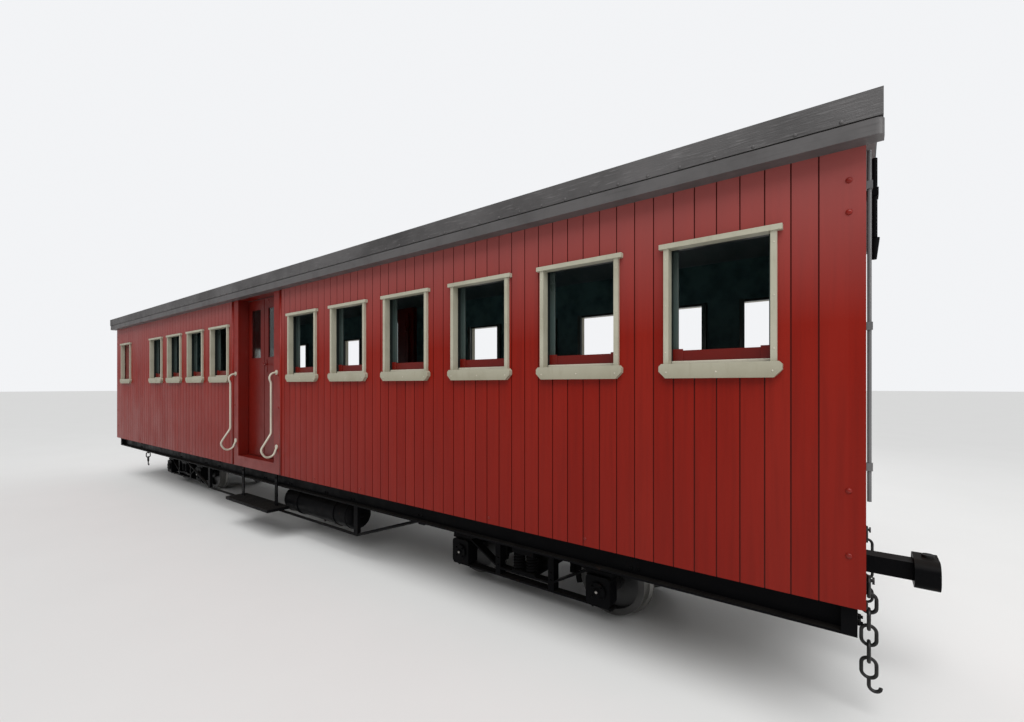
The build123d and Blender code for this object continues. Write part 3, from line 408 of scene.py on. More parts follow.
def roof_material(name):
    """Dark grey roofing: blotches, pale worn patches, grain and scattered dark spots."""
    mat, tree, shader = start_material(name, 0.7)
    cloud = noise(tree, 1.3, (1, 1, 1), 6.0, 0.65)
    fine = noise(tree, 1.0, (8, 90, 90), 4.0)
    grit = noise(tree, 220.0, (1, 1, 1), 2.0)
    color = blend_colors(tree, remap(tree, cloud, 0.35, 0.68), ROOF, ROOF_DARK)
    color = blend_colors(tree, remap(tree, fine, 0.56, 0.8, 0.0, 0.6), color, ROOF_PALE)
    holes = spots(tree, 3.2)
    color = blend_colors(tree, remap(tree, holes, 0.03, 0.05, 0.8, 0.0), color, ROOF_SPOT)
    geometry = tree.nodes.new("ShaderNodeNewGeometry")
    split = tree.nodes.new("ShaderNodeSeparateXYZ")
    tree.links.new(geometry.outputs["Normal"], split.inputs[0])
    x, y, z = axes(tree)
    facing_down = calc(tree, "LESS_THAN", split.outputs[2], -0.3)
    inward = calc(tree, "LESS_THAN", calc(tree, "ABSOLUTE", y), half_width - wall_thickness + back_margin)
    lining = blend_colors(tree, remap(tree, cloud, 0.35, 0.68), CEILING, GREEN_DARK)
    color = blend_colors(tree, calc(tree, "MULTIPLY", facing_down, inward), color, lining)
    place(tree, color, shader.inputs["Base Color"])
    place(tree, remap(tree, cloud, 0.3, 0.7, 0.34, 0.60), shader.inputs["Roughness"])
    relief = calc(tree, "ADD", calc(tree, "MULTIPLY", grit, 0.3), calc(tree, "ADD", cloud, fine))
    bump(tree, shader, relief, 0.002)
    return mat


def wheel_material(name, axle):
    """Bright worn tread, black painted centre and between them a steel rim face darkened with painted shade,
    measured from the axle.
    """
    mat, tree, shader = start_material(name, 0.4)
    x, y, z = axes(tree)
    dx = calc(tree, "SUBTRACT", x, axle.x)
    dz = calc(tree, "SUBTRACT", z, axle.z)
    squares = calc(tree, "ADD", calc(tree, "MULTIPLY", dx, dx), calc(tree, "MULTIPLY", dz, dz))
    radius = calc(tree, "SQRT", squares)
    cloud = noise(tree, 9.0, (1, 1, 1), 6.0)
    wobble = calc(tree, "ADD", radius, calc(tree, "MULTIPLY", calc(tree, "SUBTRACT", cloud, 0.5), 0.006))
    on_rim = remap(tree, wobble, rim_inner_radius - 0.002, rim_inner_radius + 0.002)
    on_tread = remap(tree, wobble, tread_inner_radius - 0.0015, tread_inner_radius + 0.0015)
    painted = blend_colors(tree, remap(tree, cloud, 0.4, 0.75, 0.0, 0.15), BLACK, DUST)
    # Painted shade: the steel rim face is darkened to near black
    shaded_rim = blend_colors(tree, remap(tree, cloud, 0.35, 0.7), RIM_SHADED, RIM_SHADED_DARK)
    color = blend_colors(tree, on_rim, painted, shaded_rim)
    color = blend_colors(tree, on_tread, color, STEEL)
    place(tree, color, shader.inputs["Base Color"])
    place(tree, calc(tree, "MULTIPLY", on_tread, 0.9), shader.inputs["Metallic"])
    place(tree, remap(tree, cloud, 0.3, 0.7, 0.3, 0.55), shader.inputs["Roughness"])
    bump(tree, shader, cloud, 0.001)
    return mat


def wood_material(name, color, dark, along, coat, plank=None):
    """Wood with grain that runs along one axis, and optional plank joints across the other."""
    mat, tree, shader = start_material(name, 0.4, coat=coat, coat_roughness=0.2)
    stretch = {"x": (2, 40, 40), "y": (40, 2, 40), "z": (40, 40, 2)}[along]
    x, y, z = axes(tree)
    grain = noise(tree, 1.0, stretch, 6.0, 0.65)
    tone = noise(tree, 2.5, (1, 1, 1), 3.0)
    mixed = blend_colors(tree, remap(tree, grain, 0.35, 0.7), color, dark)
    mixed = blend_colors(tree, remap(tree, tone, 0.4, 0.7, 0.0, 0.4), mixed, dark)
    height = grain
    if plank:
        fraction = calc(tree, "FRACT", calc(tree, "DIVIDE", y, plank))
        edge = calc(tree, "ABSOLUTE", calc(tree, "SUBTRACT", fraction, 0.5))
        joint = remap(tree, edge, 0.47, 0.49)
        mixed = blend_colors(tree, joint, mixed, PLANK_JOINT)
        height = calc(tree, "SUBTRACT", grain, calc(tree, "MULTIPLY", joint, 4.0))
    place(tree, mixed, shader.inputs["Base Color"])
    place(tree, remap(tree, grain, 0.3, 0.7, 0.32, 0.6), shader.inputs["Roughness"])
    bump(tree, shader, height, 0.001)
    return mat


def steel_material(name, color, roughness, metallic):
    """Bare or blackened steel with a cloudy surface."""
    mat, tree, shader = start_material(name, roughness, metallic)
    cloud = noise(tree, 30.0, (1, 1, 1), 5.0)
    dark = tuple(c * 0.4 for c in color)
    place(tree, blend_colors(tree, remap(tree, cloud, 0.4, 0.7), color, dark), shader.inputs["Base Color"])
    place(tree, remap(tree, cloud, 0.3, 0.7, roughness - 0.1, roughness + 0.15), shader.inputs["Roughness"])
    bump(tree, shader, cloud, 0.0006)
    return mat


def glass_material(name):
    """Old window glass: clear, with a faint tint and slight waves."""
    mat, tree, shader = start_material(name, 0.06)
    shader.inputs["Transmission Weight"].default_value = 1.0
    shader.inputs["IOR"].default_value = 1.45
    shader.inputs["Specular IOR Level"].default_value = 0.2
    wave = noise(tree, 6.0, (1, 1, 1), 2.0)
    place(tree, blend_colors(tree, wave, GLASS, GLASS_DARK), shader.inputs["Base Color"])
    bump(tree, shader, wave, 0.001)
    return mat


# Board joints start where the frame has them: from the door bay to the corner board
front_span = half_length - corner_board - bay_front_x
rear_span = half_length - corner_board + bay_rear_x
front_pitch = front_span / round(front_span / board_pitch)
rear_pitch = rear_span / round(rear_span / board_pitch)
end_span = 2 * (half_width - wall_thickness)
end_pitch = end_span / round(end_span / board_pitch)

front_boards = board_material("red_boards_front", bay_front_x, front_pitch, "x", half_length - corner_board)
rear_boards = board_material("red_boards_rear", bay_rear_x, rear_pitch, "x", half_length - corner_board)
end_boards = board_material("red_boards_end", -end_span / 2, end_pitch, "y", end_span / 2)

# Paints: name, colour, dark colour, roughness, coat, stretch of the brush marks, share of the dark colour
# Darker towards the bottom: the red paint near the foot of the sides, the window frames at their sills
red_low_darkening = (side_low_z, 0.6, 0.45)
# Painted shade: red paint more than 4 mm behind the side of the body is darker, in the door recesses and on
# the sashes
red_recess_shade = (0.004, RED_DARK, 0.58)
frame_low_darkening = (window_frame_low_z, sill_height + 0.05, 0.5)
# Painted shade: the window frames are near black on their reveals, deeper than the cream edge
frame_reveal_shade = (cream_reveal, REVEAL_SHADE, 1.0)
red_paint = paint_material("red_paint", RED, RED_DARK, 0.34, 0.12, (50, 50, 4), 0.35, red_low_darkening, red_recess_shade)
frame_paint = paint_material(
    "frame_paint", CREAM, CREAM_DARK, 0.42, 0.1, (40, 40, 8), 0.3, frame_low_darkening, frame_reveal_shade
)
cream_steel = paint_material("cream_steel", CREAM_BRIGHT, CREAM_DARK, 0.3, 0.3, (60, 60, 20), 0.25)
green_paint = paint_material("green_paint", GREEN, GREEN_DARK, 0.4, 0.25, (50, 50, 5), 0.35)
guide_paint = paint_material("guide_paint", GUIDE, GREEN_DARK, 0.3, 0.3, (40, 40, 4), 0.35)
pipe_paint = paint_material("pipe_paint", PIPE, PIPE_DARK, 0.24, 0.5, (40, 40, 8), 0.35)
eave_paint = paint_material("eave_paint", ROOF, ROOF_DARK, 0.48, 0.15, (3, 60, 60), 0.5)
black_paint = black_material("black_paint")
roof_felt = roof_material("roof_felt")

# Woods: name, colour, dark colour, axis of the grain, coat, width of a plank
floor_wood = wood_material("floor_wood", FLOOR_WOOD, FLOOR_WOOD_DARK, "x", 0.0, 0.12)
bench_wood = wood_material("bench_wood", BENCH_WOOD, BENCH_WOOD_DARK, "y", 0.35)

# Steels: name, colour, roughness, metallic
chain_steel = steel_material("chain_steel", CHAIN, 0.42, 0.7)
bright_steel = steel_material("bright_steel", BRIGHT_STEEL, 0.34, 0.9)
glass = glass_material("window_glass")


def dress(node, mat):
    """Give a node of the frame its material."""
    obj = nodes[node]
    if not obj.material_slots:
        obj.data.materials.append(mat)
    for material_slot in obj.material_slots:
        material_slot.material = mat


# Materials of the nodes of the frame
for side in SIDES:
    dress(f"side_wall_{side}_front", front_boards)
    dress(f"side_wall_{side}_rear", rear_boards)
    dress(f"window_frames_{side}", frame_paint)
    dress(f"window_sashes_{side}", red_paint)
    dress(f"door_frame_{side}", red_paint)
    for end in ENDS:
        dress(f"door_{side}_{end}", red_paint)
    dress(f"handrails_{side}", cream_steel)
    dress(f"step_{side}", black_paint)
for end in ENDS:
    dress(f"end_wall_{end}", end_boards)
    dress(f"coupler_{end}", black_paint)
    dress(f"safety_chains_{end}", chain_steel)
    for piece in ("frame", "bolster", "springs", "axleboxes", "brakes"):
        dress(f"bogie_{end}_{piece}", black_paint)
    for axle in ENDS:
        node = f"bogie_{end}_wheelset_{axle}"
        dress(node, wheel_material(f"wheel_{end}_{axle}", middle(low(node), high(node))))
for node in (
    "solebars",
    "headstocks",
    "cross_bearers",
    "sill_beams",
    "body_bolsters",
    "end_conduits",
    "truss_rods",
    "queen_posts",
    "reservoir",
    "reservoir_straps",
):
    dress(node, black_paint)
dress("roof", roof_felt)
dress("cornices", eave_paint)
dress("end_cornices", eave_paint)
dress("window_shutter", red_paint)
dress("coupler_pins", chain_steel)
dress("end_pipes", pipe_paint)
dress("floor", floor_wood)
dress("bench_seats", bench_wood)
dress("bench_backs", bench_wood)
dress("bench_ends", green_paint)


# Mesh helpers
def finish_mesh(name, bm, mat, body, smooth=True):
    """Turn a bmesh into a piece that rides on a body."""
    mesh = bpy.data.meshes.new(name)
    bmesh.ops.recalc_face_normals(bm, faces=bm.faces)
    bm.to_mesh(mesh)
    bm.free()
    mesh.materials.append(mat)
    for face in mesh.polygons:
        face.use_smooth = smooth
    obj = bpy.data.objects.new(name, mesh)
    bpy.context.scene.collection.objects.link(obj)
    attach(obj, body)
    return obj


def add_box(bm, centre, size, bevel):
    """One box, its edges eased."""
    made = bmesh.ops.create_cube(bm, size=1.0)
    bmesh.ops.scale(bm, vec=size, verts=made["verts"])
    bmesh.ops.translate(bm, vec=centre, verts=made["verts"])
    edges = list({edge for vert in made["verts"] for edge in vert.link_edges})
    bmesh.ops.bevel(bm, geom=edges, offset=bevel, segments=2, profile=0.7, affect="EDGES")


def add_head(bm, centre, outward, radius, height, sides=10):
    """One domed bolt or nail head that stands on a surface."""
    turn = Vector((0, 0, 1)).rotation_difference(Vector(outward)).to_matrix().to_4x4()
    # share of the radius, share of the height
    rings = ((1.0, -0.15), (1.0, 0.25), (0.72, 0.78), (0.3, 1.0))
    loops = []
    for share, rise in rings:
        ring = []
        for i in range(sides):
            angle = 2 * math.pi * i / sides
            flat = Vector((math.cos(angle), math.sin(angle), 0)) * radius * share
            ring.append(bm.verts.new(Vector(centre) + turn @ (flat + Vector((0, 0, height * rise)))))
        loops.append(ring)
    for lower, upper in zip(loops, loops[1:]):
        for i in range(sides):
            j = (i + 1) % sides
            bm.faces.new((lower[i], lower[j], upper[j], upper[i]))
    bm.faces.new(loops[-1])
    bm.faces.new(list(reversed(loops[0])))


def add_tube(bm, points, radius, sides=10, closed=False):
    """A tube along points, with rings kept square to the path."""
    count = len(points)
    rings = []
    normal = None
    for i, point in enumerate(points):
        before = points[i - 1] if (i > 0 or closed) else point
        after = points[(i + 1) % count] if (i < count - 1 or closed) else point
        tangent = (Vector(after) - Vector(before)).normalized()
        if normal is None:
            helper = Vector((0, 0, 1)) if abs(tangent.z) < 0.9 else Vector((1, 0, 0))
            normal = tangent.cross(helper).normalized()
        normal = (normal - tangent * normal.dot(tangent)).normalized()
        side = tangent.cross(normal)
        ring = []
        for k in range(sides):
            angle = 2 * math.pi * k / sides
            offset = normal * math.cos(angle) + side * math.sin(angle)
            ring.append(bm.verts.new(Vector(point) + offset * radius))
        rings.append(ring)
    pairs = list(zip(rings, rings[1:] + rings[:1])) if closed else list(zip(rings, rings[1:]))
    for lower, upper in pairs:
        for k in range(sides):
            j = (k + 1) % sides
            bm.faces.new((lower[k], lower[j], upper[j], upper[k]))
    if not closed:
        bm.faces.new(list(reversed(rings[0])))
        bm.faces.new(rings[-1])


def add_nut(bm, centre, outward, radius, height):
    """One hexagon nut with a bolt end that stands out of it."""
    turn = Vector((0, 0, 1)).rotation_difference(Vector(outward)).to_matrix().to_4x4()
    taper = 0.93
    # sides, share of the radius, start and end share of the height
    for sides, share, start, stop in ((6, 1.0, -0.15, 0.62), (10, 0.52, 0.6, 1.0)):
        lower, upper = [], []
        for i in range(sides):
            angle = 2 * math.pi * i / sides
            flat = Vector((math.cos(angle), math.sin(angle), 0)) * radius * share
            lower.append(bm.verts.new(Vector(centre) + turn @ (flat + Vector((0, 0, height * start)))))
            upper.append(bm.verts.new(Vector(centre) + turn @ (flat * taper + Vector((0, 0, height * stop)))))
        for i in range(sides):
            j = (i + 1) % sides
            bm.faces.new((lower[i], lower[j], upper[j], upper[i]))
        bm.faces.new(upper)
        bm.faces.new(list(reversed(lower)))


# Depth by which small pieces sink into what carries them
seat = 0.001

# Eased edges, from panes and treads to bars, slats and posts
pane_bevel = 0.0005
tread_bevel = 0.0015
trim_bevel = 0.002
bar_bevel = 0.003
slat_bevel = 0.004
post_bevel = 0.005

# Tacks along the roof edge just above the joint line
tack_rise = 0.018
tack_pitch = 0.168
tack_radius = 0.008
tack_height = 0.005
tack_count = round(2 * half_length / tack_pitch)
bm = bmesh.new()
for sign in SIDES.values():
    for i in range(tack_count):
        x = (2 * (i + 0.5) / tack_count - 1) * half_length
        add_head(bm, (x, sign * roof_edge_y, eave_z + tack_rise), (0, sign, 0), tack_radius, tack_height, 8)
finish_mesh("roof_tacks", bm, eave_paint, "coach")

# Bolt heads in the corner boards, door posts and lower boards
bolt_radius = 0.013
bolt_height = 0.007
corner_bolt_inset = 0.060
corner_bolt_rises = (1.866, 1.727, 0.510, 0.225)
post_bolt_inset = 0.030
post_bolt_rises = (1.08, 0.73)
low_bolt_radius = 0.009
low_bolt_height = 0.005
low_bolt_rise = 0.045
low_bolt_distances = (1.35, 2.10, 3.60, 4.35)
bm = bmesh.new()
for sign in SIDES.values():
    face_y = sign * half_width
    for end_sign in ENDS.values():
        for rise in corner_bolt_rises:
            spot = (end_sign * (half_length - corner_bolt_inset), face_y, side_low_z + rise)
            add_head(bm, spot, (0, sign, 0), bolt_radius, bolt_height, 12)
        for distance in low_bolt_distances:
            spot = (end_sign * (half_length - distance), face_y, side_low_z + low_bolt_rise)
            add_head(bm, spot, (0, sign, 0), low_bolt_radius, low_bolt_height, 10)
    for x in (bay_front_x - post_bolt_inset, bay_rear_x + post_bolt_inset):
        for rise in post_bolt_rises:
            add_head(bm, (x, face_y, side_low_z + rise), (0, sign, 0), bolt_radius, bolt_height, 12)
finish_mesh("side_bolts", bm, red_paint, "coach")

# Half-round beads that cover the joints beside the door posts
post_bead_half_width = 0.020
post_bead_depth = 0.012
post_bead_gap = 0.001
post_bead_low_gap = 0.004
post_bead_top_gap = 0.002
post_bead_low_z = side_low_z + post_bead_low_gap
post_bead_top_z = cornice_low_z - post_bead_top_gap
post_bead_steps = 8
arc = [math.pi * k / post_bead_steps for k in range(post_bead_steps + 1)]
bm = bmesh.new()
for sign in SIDES.values():
    for bay_x, outward in ((bay_front_x, 1), (bay_rear_x, -1)):
        bead_x = bay_x + outward * (post_bead_gap + post_bead_half_width)
        lower = []
        upper = []
        for angle in arc:
            x = bead_x + math.cos(angle) * post_bead_half_width
            y = sign * (half_width + math.sin(angle) * post_bead_depth)
            lower.append(bm.verts.new((x, y, post_bead_low_z)))
            upper.append(bm.verts.new((x, y, post_bead_top_z)))
        for i in range(len(arc)):
            j = (i + 1) % len(arc)
            bm.faces.new((lower[i], lower[j], upper[j], upper[i]))
        bm.faces.new(lower)
        bm.faces.new(list(reversed(upper)))
finish_mesh("door_beads", bm, red_paint, "coach")

# Nails in the window casings, stops on the sills, stiles of the lowered sashes and the guide strips that
# hold them from inside, each with a spacer between it and the wall
nail_radius = 0.0045
nail_height = 0.002
casing_nail_inset = 0.015
casing_nail_rises = (0.06, 0.31, 0.56)
sill_nail_places = (-0.25, 0.0, 0.25)
sill_nail_drop = 0.045
stop_height = 0.018
stop_depth = 0.016
stop_inset = 0.008
guide_width = 0.040
guide_depth = 0.012
guide_overrun = 0.020
spacer_width = 0.014
stile_width = 0.055
stile_depth = 0.006
stile_horn = 0.008
stile_overrun = 0.002
shutter_x = middle(low("window_shutter"), high("window_shutter")).x
for side, sign in SIDES.items():
    nails = bmesh.new()
    stops = bmesh.new()
    stiles = bmesh.new()
    guides = bmesh.new()
    inner_face = sign * (half_width - wall_thickness)
    sash_face = low(f"window_sashes_{side}").y if sign > 0 else high(f"window_sashes_{side}").y
    for corner_low, corner_high in solid_boxes(f"window_frames_{side}"):
        mid_x = middle(corner_low, corner_high).x
        sill_top = corner_low.z + sill_height
        for dx in (-window_width / 2 - casing_nail_inset, window_width / 2 + casing_nail_inset):
            for rise in casing_nail_rises:
                spot = (mid_x + dx, sign * (half_width + casing_projection), sill_top + rise)
                add_head(nails, spot, (0, sign, 0), nail_radius, nail_height, 8)
        for dx in sill_nail_places:
            spot = (mid_x + dx, sign * (half_width + sill_projection), sill_top - sill_nail_drop)
            add_head(nails, spot, (0, sign, 0), nail_radius, nail_height, 8)

        shuttered = sign < 0 and abs(mid_x - shutter_x) < window_width / 2
        if not shuttered:
            stop_y = inner_face + sign * (stop_inset + stop_depth / 2)
            stop_size = (window_width + 2 * seat, stop_depth, stop_height)
            add_box(stops, (mid_x, stop_y, sill_top + stop_height / 2 - seat), stop_size, bar_bevel)

        guide_low_z = sill_top - guide_overrun
        guide_top_z = sill_top + window_height + guide_overrun
        guide_y = sash_face - sign * (guide_depth - seat) / 2
        guide_size = (guide_width, guide_depth, guide_top_z - guide_low_z)
        spacer_low_z = sill_top + sash_rail_height + seat
        spacer_y = (inner_face + sash_face) / 2
        spacer_size = (spacer_width, abs(inner_face - sash_face) + seat, guide_top_z - spacer_low_z)
        stile_y = inner_face + sign * (stile_depth / 2 - seat)
        stile_size = (stile_width, stile_depth, sash_rail_height + stile_horn)
        for outward in (-1, 1):
            edge_x = mid_x + outward * window_width / 2
            add_box(guides, (edge_x, guide_y, (guide_low_z + guide_top_z) / 2), guide_size, bar_bevel)
            spacer_x = edge_x + outward * (guide_width - spacer_width) / 2
            add_box(guides, (spacer_x, spacer_y, (spacer_low_z + guide_top_z) / 2), spacer_size, trim_bevel)
            if not shuttered:
                stile_x = edge_x - outward * (stile_width / 2 - stile_overrun)
                add_box(stiles, (stile_x, stile_y, sill_top + stile_size[2] / 2), stile_size, trim_bevel)
    finish_mesh(f"casing_nails_{side}", nails, cream_steel, "coach")
    finish_mesh(f"sill_stops_{side}", stops, cream_steel, "coach")
    finish_mesh(f"sash_stiles_{side}", stiles, red_paint, "coach")
    finish_mesh(f"window_guides_{side}", guides, guide_paint, "coach")

# Panes and glazing beads of the door leaves, and the lock of each front leaf with its handle
pane_thickness = 0.004
pane_inset = 0.012
glazing_bead = 0.008
glazing_bead_inset = 0.006
lock_inset = 0.045
lock_rise = 1.20
lock_size = (0.046, 0.006, 0.150)
lock_screw = (0.005, 0.003)
lock_screw_rise = 0.062
handle_radius = 0.008
# along the leaf, out of its face, above the middle of the lock
handle_route = (
    (0.000, 0.003, 0.020),
    (0.000, 0.036, 0.020),
    (0.006, 0.048, 0.020),
    (0.020, 0.052, 0.018),
    (0.085, 0.050, 0.006),
)
for side, sign in SIDES.items():
    for end, end_sign in ENDS.items():
        leaf = f"door_{side}_{end}"
        free_x = low(leaf).x if end_sign > 0 else high(leaf).x
        leaf_face = low(leaf).y if sign < 0 else high(leaf).y
        light_x = free_x + end_sign * (door_meeting_stile + door_light_width / 2)
        bm = bmesh.new()
        pane_size = (door_light_width + seat, pane_thickness, door_light_height + seat)
        add_box(bm, (light_x, leaf_face - sign * pane_inset, door_light_z), pane_size, pane_bevel)
        finish_mesh(f"door_pane_{side}_{end}", bm, glass, leaf, smooth=False)
        bm = bmesh.new()
        bead_y = leaf_face - sign * glazing_bead_inset
        cross_size = (door_light_width + seat, glazing_bead, glazing_bead + seat)
        upright_size = (glazing_bead + seat, glazing_bead, door_light_height - 2 * glazing_bead)
        for rise in (-1, 1):
            z = door_light_z + rise * (door_light_height - glazing_bead) / 2
            add_box(bm, (light_x, bead_y, z), cross_size, trim_bevel)
            x = light_x + rise * (door_light_width - glazing_bead) / 2
            add_box(bm, (x, bead_y, door_light_z), upright_size, trim_bevel)
        finish_mesh(f"door_beading_{side}_{end}", bm, red_paint, leaf)

    leaf = f"door_{side}_front"
    leaf_face = low(leaf).y if sign < 0 else high(leaf).y
    lock_x = low(leaf).x + lock_inset
    lock_z = side_low_z + lock_rise
    lock_face = leaf_face + sign * (lock_size[1] - seat)
    bm = bmesh.new()
    add_box(bm, (lock_x, lock_face - sign * lock_size[1] / 2, lock_z), lock_size, trim_bevel)
    for dz in (-lock_screw_rise, lock_screw_rise):
        add_head(bm, (lock_x, lock_face, lock_z + dz), (0, sign, 0), *lock_screw, 8)
    route = [(lock_x + along, leaf_face + sign * out, lock_z + up) for along, out, up in handle_route]
    add_tube(bm, route, handle_radius, 12)
    finish_mesh(f"door_lock_{side}", bm, red_paint, leaf)

# Screws in the handrail plates
plate_rises = (1.112, 0.300)
plate_thickness = 0.008
plate_screw = (0.004, 0.002)
plate_screw_circle = 0.018
plate_screw_count = 3
for side, sign in SIDES.items():
    bm = bmesh.new()
    for corner_low, corner_high in solid_boxes(f"handrails_{side}"):
        mid_x = middle(corner_low, corner_high).x
        for rise in plate_rises:
            for k in range(plate_screw_count):
                angle = math.pi / 2 + 2 * math.pi * k / plate_screw_count
                x = mid_x + plate_screw_circle * math.cos(angle)
                z = side_low_z + rise + plate_screw_circle * math.sin(angle)
                add_head(bm, (x, sign * (half_width + plate_thickness), z), (0, sign, 0), *plate_screw, 8)
    finish_mesh(f"rail_screws_{side}", bm, cream_steel, "coach")

# Slatted benches in place of the plain boards
slat_gap = 0.012
slat_count = 5
slat_thickness = 0.022
bearer_width = 0.050
bearer_thickness = 0.008
back_post_width = 0.050
back_slat_thickness = 0.020
back_slat_setback = 0.045
# middle height and height of each cross slat of a back
back_slat_rows = ((0.47, 0.07), (0.585, 0.08), (0.70, 0.08), (0.815, 0.08), (0.94, 0.11))
bm = bmesh.new()
for corner_low, corner_high in solid_boxes("bench_seats"):
    size = corner_high - corner_low
    mid = middle(corner_low, corner_high)
    slat = (size.x - slat_gap * (slat_count - 1)) / slat_count
    for i in range(slat_count):
        x = corner_low.x + slat / 2 + i * (slat + slat_gap)
        spot = (x, mid.y, corner_high.z - slat_thickness / 2)
        add_box(bm, spot, (slat, size.y, slat_thickness), slat_bevel)
    for y in (corner_low.y + bearer_width, corner_high.y - bearer_width):
        bearer_size = (size.x, bearer_width, bearer_thickness)
        add_box(bm, (mid.x, y, corner_low.z + bearer_thickness / 2), bearer_size, trim_bevel)
seats = finish_mesh("seat_slats", bm, bench_wood, "coach")
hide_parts("bench_seats")
bm = bmesh.new()
for corner_low, corner_high in solid_boxes("bench_backs"):
    size = corner_high - corner_low
    mid = middle(corner_low, corner_high)
    for y in (corner_low.y + back_post_width / 2, corner_high.y - back_post_width / 2):
        add_box(bm, (mid.x, y, mid.z), (size.x, back_post_width, size.z), post_bevel)
    for rise, height in back_slat_rows:
        slat_size = (back_slat_thickness, size.y - 2 * back_slat_setback, height)
        add_box(bm, (mid.x, mid.y, corner_low.z + rise), slat_size, post_bevel)
backs = finish_mesh("back_slats", bm, bench_wood, "coach")
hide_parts("bench_backs")

# Coil springs in place of the plain stacks in the bogies, with their plates
spring_wire = 0.0105
spring_turns = 5
turn_steps = 20
spring_plate_overhang = 0.008
spring_plate_height = 0.005
for end in ENDS:
    node = f"bogie_{end}_springs"
    bm = bmesh.new()
    for corner_low, corner_high in solid_boxes(node):
        mid = middle(corner_low, corner_high)
        coil_radius = (corner_high.x - corner_low.x) / 2 - spring_wire
        rise = corner_high.z - corner_low.z - 2 * spring_wire
        steps = spring_turns * turn_steps
        route = []
        for k in range(steps + 1):
            angle = 2 * math.pi * k / turn_steps
            x = mid.x + coil_radius * math.cos(angle)
            y = mid.y + coil_radius * math.sin(angle)
            route.append((x, y, corner_low.z + spring_wire + rise * k / steps))
        add_tube(bm, route, spring_wire, 8)
        plate_radius = coil_radius + spring_plate_overhang
        for z in (corner_low.z, corner_high.z - spring_plate_height - seat):
            add_head(bm, (mid.x, mid.y, z), (0, 0, 1), plate_radius, spring_plate_height, 20)
    springs = finish_mesh(f"coil_springs_{end}", bm, black_paint, f"bogie_{end}")
    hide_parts(node)

# Lids, nuts and rivets on the bogies, each nut or head with its radius and height
lid_nut_circle = 0.046
lid_nut_count = 4
lid_nut = (0.009, 0.010)
lid_boss = (0.026, 0.009)
lid_cap = (0.011, 0.006)
lid_cap_rise = 0.007
box_bolt_spread = 0.065
box_top_nut = (0.016, 0.026)
box_low_nut = (0.016, 0.022)
column_nut = (0.017, 0.026)
column_rivet = (0.010, 0.007)
column_rivet_heights = (0.245, 0.30, 0.42, 0.47)
for end, end_sign in ENDS.items():
    bm = bmesh.new()
    bright = bmesh.new()
    for corner_low, corner_high in solid_boxes(f"bogie_{end}_axleboxes"):
        mid = middle(corner_low, corner_high)
        outward = math.copysign(1, mid.y)
        face_y = corner_high.y if outward > 0 else corner_low.y
        for k in range(lid_nut_count):
            angle = 2 * math.pi * (k + 0.5) / lid_nut_count
            x = mid.x + lid_nut_circle * math.cos(angle)
            z = mid.z + lid_nut_circle * math.sin(angle)
            add_nut(bm, (x, face_y, z), (0, outward, 0), *lid_nut)
        add_head(bm, (mid.x, face_y, mid.z), (0, outward, 0), *lid_boss, 20)
        add_head(bright, (mid.x, face_y + outward * lid_cap_rise, mid.z), (0, outward, 0), *lid_cap, 14)
        for dx in (-box_bolt_spread, box_bolt_spread):
            bar_y = outward * bogie_side_y
            add_nut(bm, (mid.x + dx, bar_y, corner_high.z + 2 * arch_bar), (0, 0, 1), *box_top_nut)
            add_nut(bm, (mid.x + dx, bar_y, corner_low.z - arch_bar), (0, 0, -1), *box_low_nut)
    top_z = high(f"bogie_{end}_frame").z
    for sign in SIDES.values():
        for dx in (-column_x, column_x):
            x = end_sign * bogie_centre_x + dx
            add_nut(bm, (x, sign * bogie_side_y, top_z), (0, 0, 1), *column_nut)
            for z in column_rivet_heights:
                spot = (x, sign * (bogie_side_y + arch_bar_width / 2), z)
                add_head(bm, spot, (0, sign, 0), *column_rivet, 10)
    finish_mesh(f"bogie_nuts_{end}", bm, black_paint, f"bogie_{end}")
    finish_mesh(f"lid_caps_{end}", bright, bright_steel, f"bogie_{end}")

# Rivets on the solebars, bolts on the headstocks and shank plates of the couplers
solebar_flange = 0.050
solebar_mid_z = middle(low("solebars"), high("solebars")).z
web_face_y = high("solebars").y - solebar_flange
bearer_rivet = (0.011, 0.008)
bearer_rivet_x = 0.022
bearer_rivet_z = 0.032
shank_plate = (0.012, 0.220, 0.135)
shank_nut = (0.014, 0.020)
shank_nut_y = 0.085
shank_nut_z = 0.045
headstock_nut = (0.015, 0.020)
headstock_nut_places = (-0.86, -0.79, 0.79, 0.86)
headstock_nut_z = 0.040
bm = bmesh.new()
for sign in SIDES.values():
    for corner_low, corner_high in solid_boxes("cross_bearers"):
        mid_x = middle(corner_low, corner_high).x
        for dx in (-bearer_rivet_x, bearer_rivet_x):
            for dz in (-bearer_rivet_z, bearer_rivet_z):
                spot = (mid_x + dx, sign * web_face_y, solebar_mid_z + dz)
                add_head(bm, spot, (0, sign, 0), *bearer_rivet, 10)
for sign in ENDS.values():
    face = sign * high("headstocks").x
    plate_face = face + sign * shank_plate[0]
    add_box(bm, (face + sign * shank_plate[0] / 2, 0, coupler_z), shank_plate, bar_bevel)
    for y in (-shank_nut_y, shank_nut_y):
        for dz in (-shank_nut_z, shank_nut_z):
            add_nut(bm, (plate_face, y, coupler_z + dz), (sign, 0, 0), *shank_nut)
    for y in headstock_nut_places:
        for dz in (-headstock_nut_z, headstock_nut_z):
            add_nut(bm, (face, y, solebar_mid_z + dz), (sign, 0, 0), *headstock_nut)
finish_mesh("underframe_rivets", bm, black_paint, "coach")

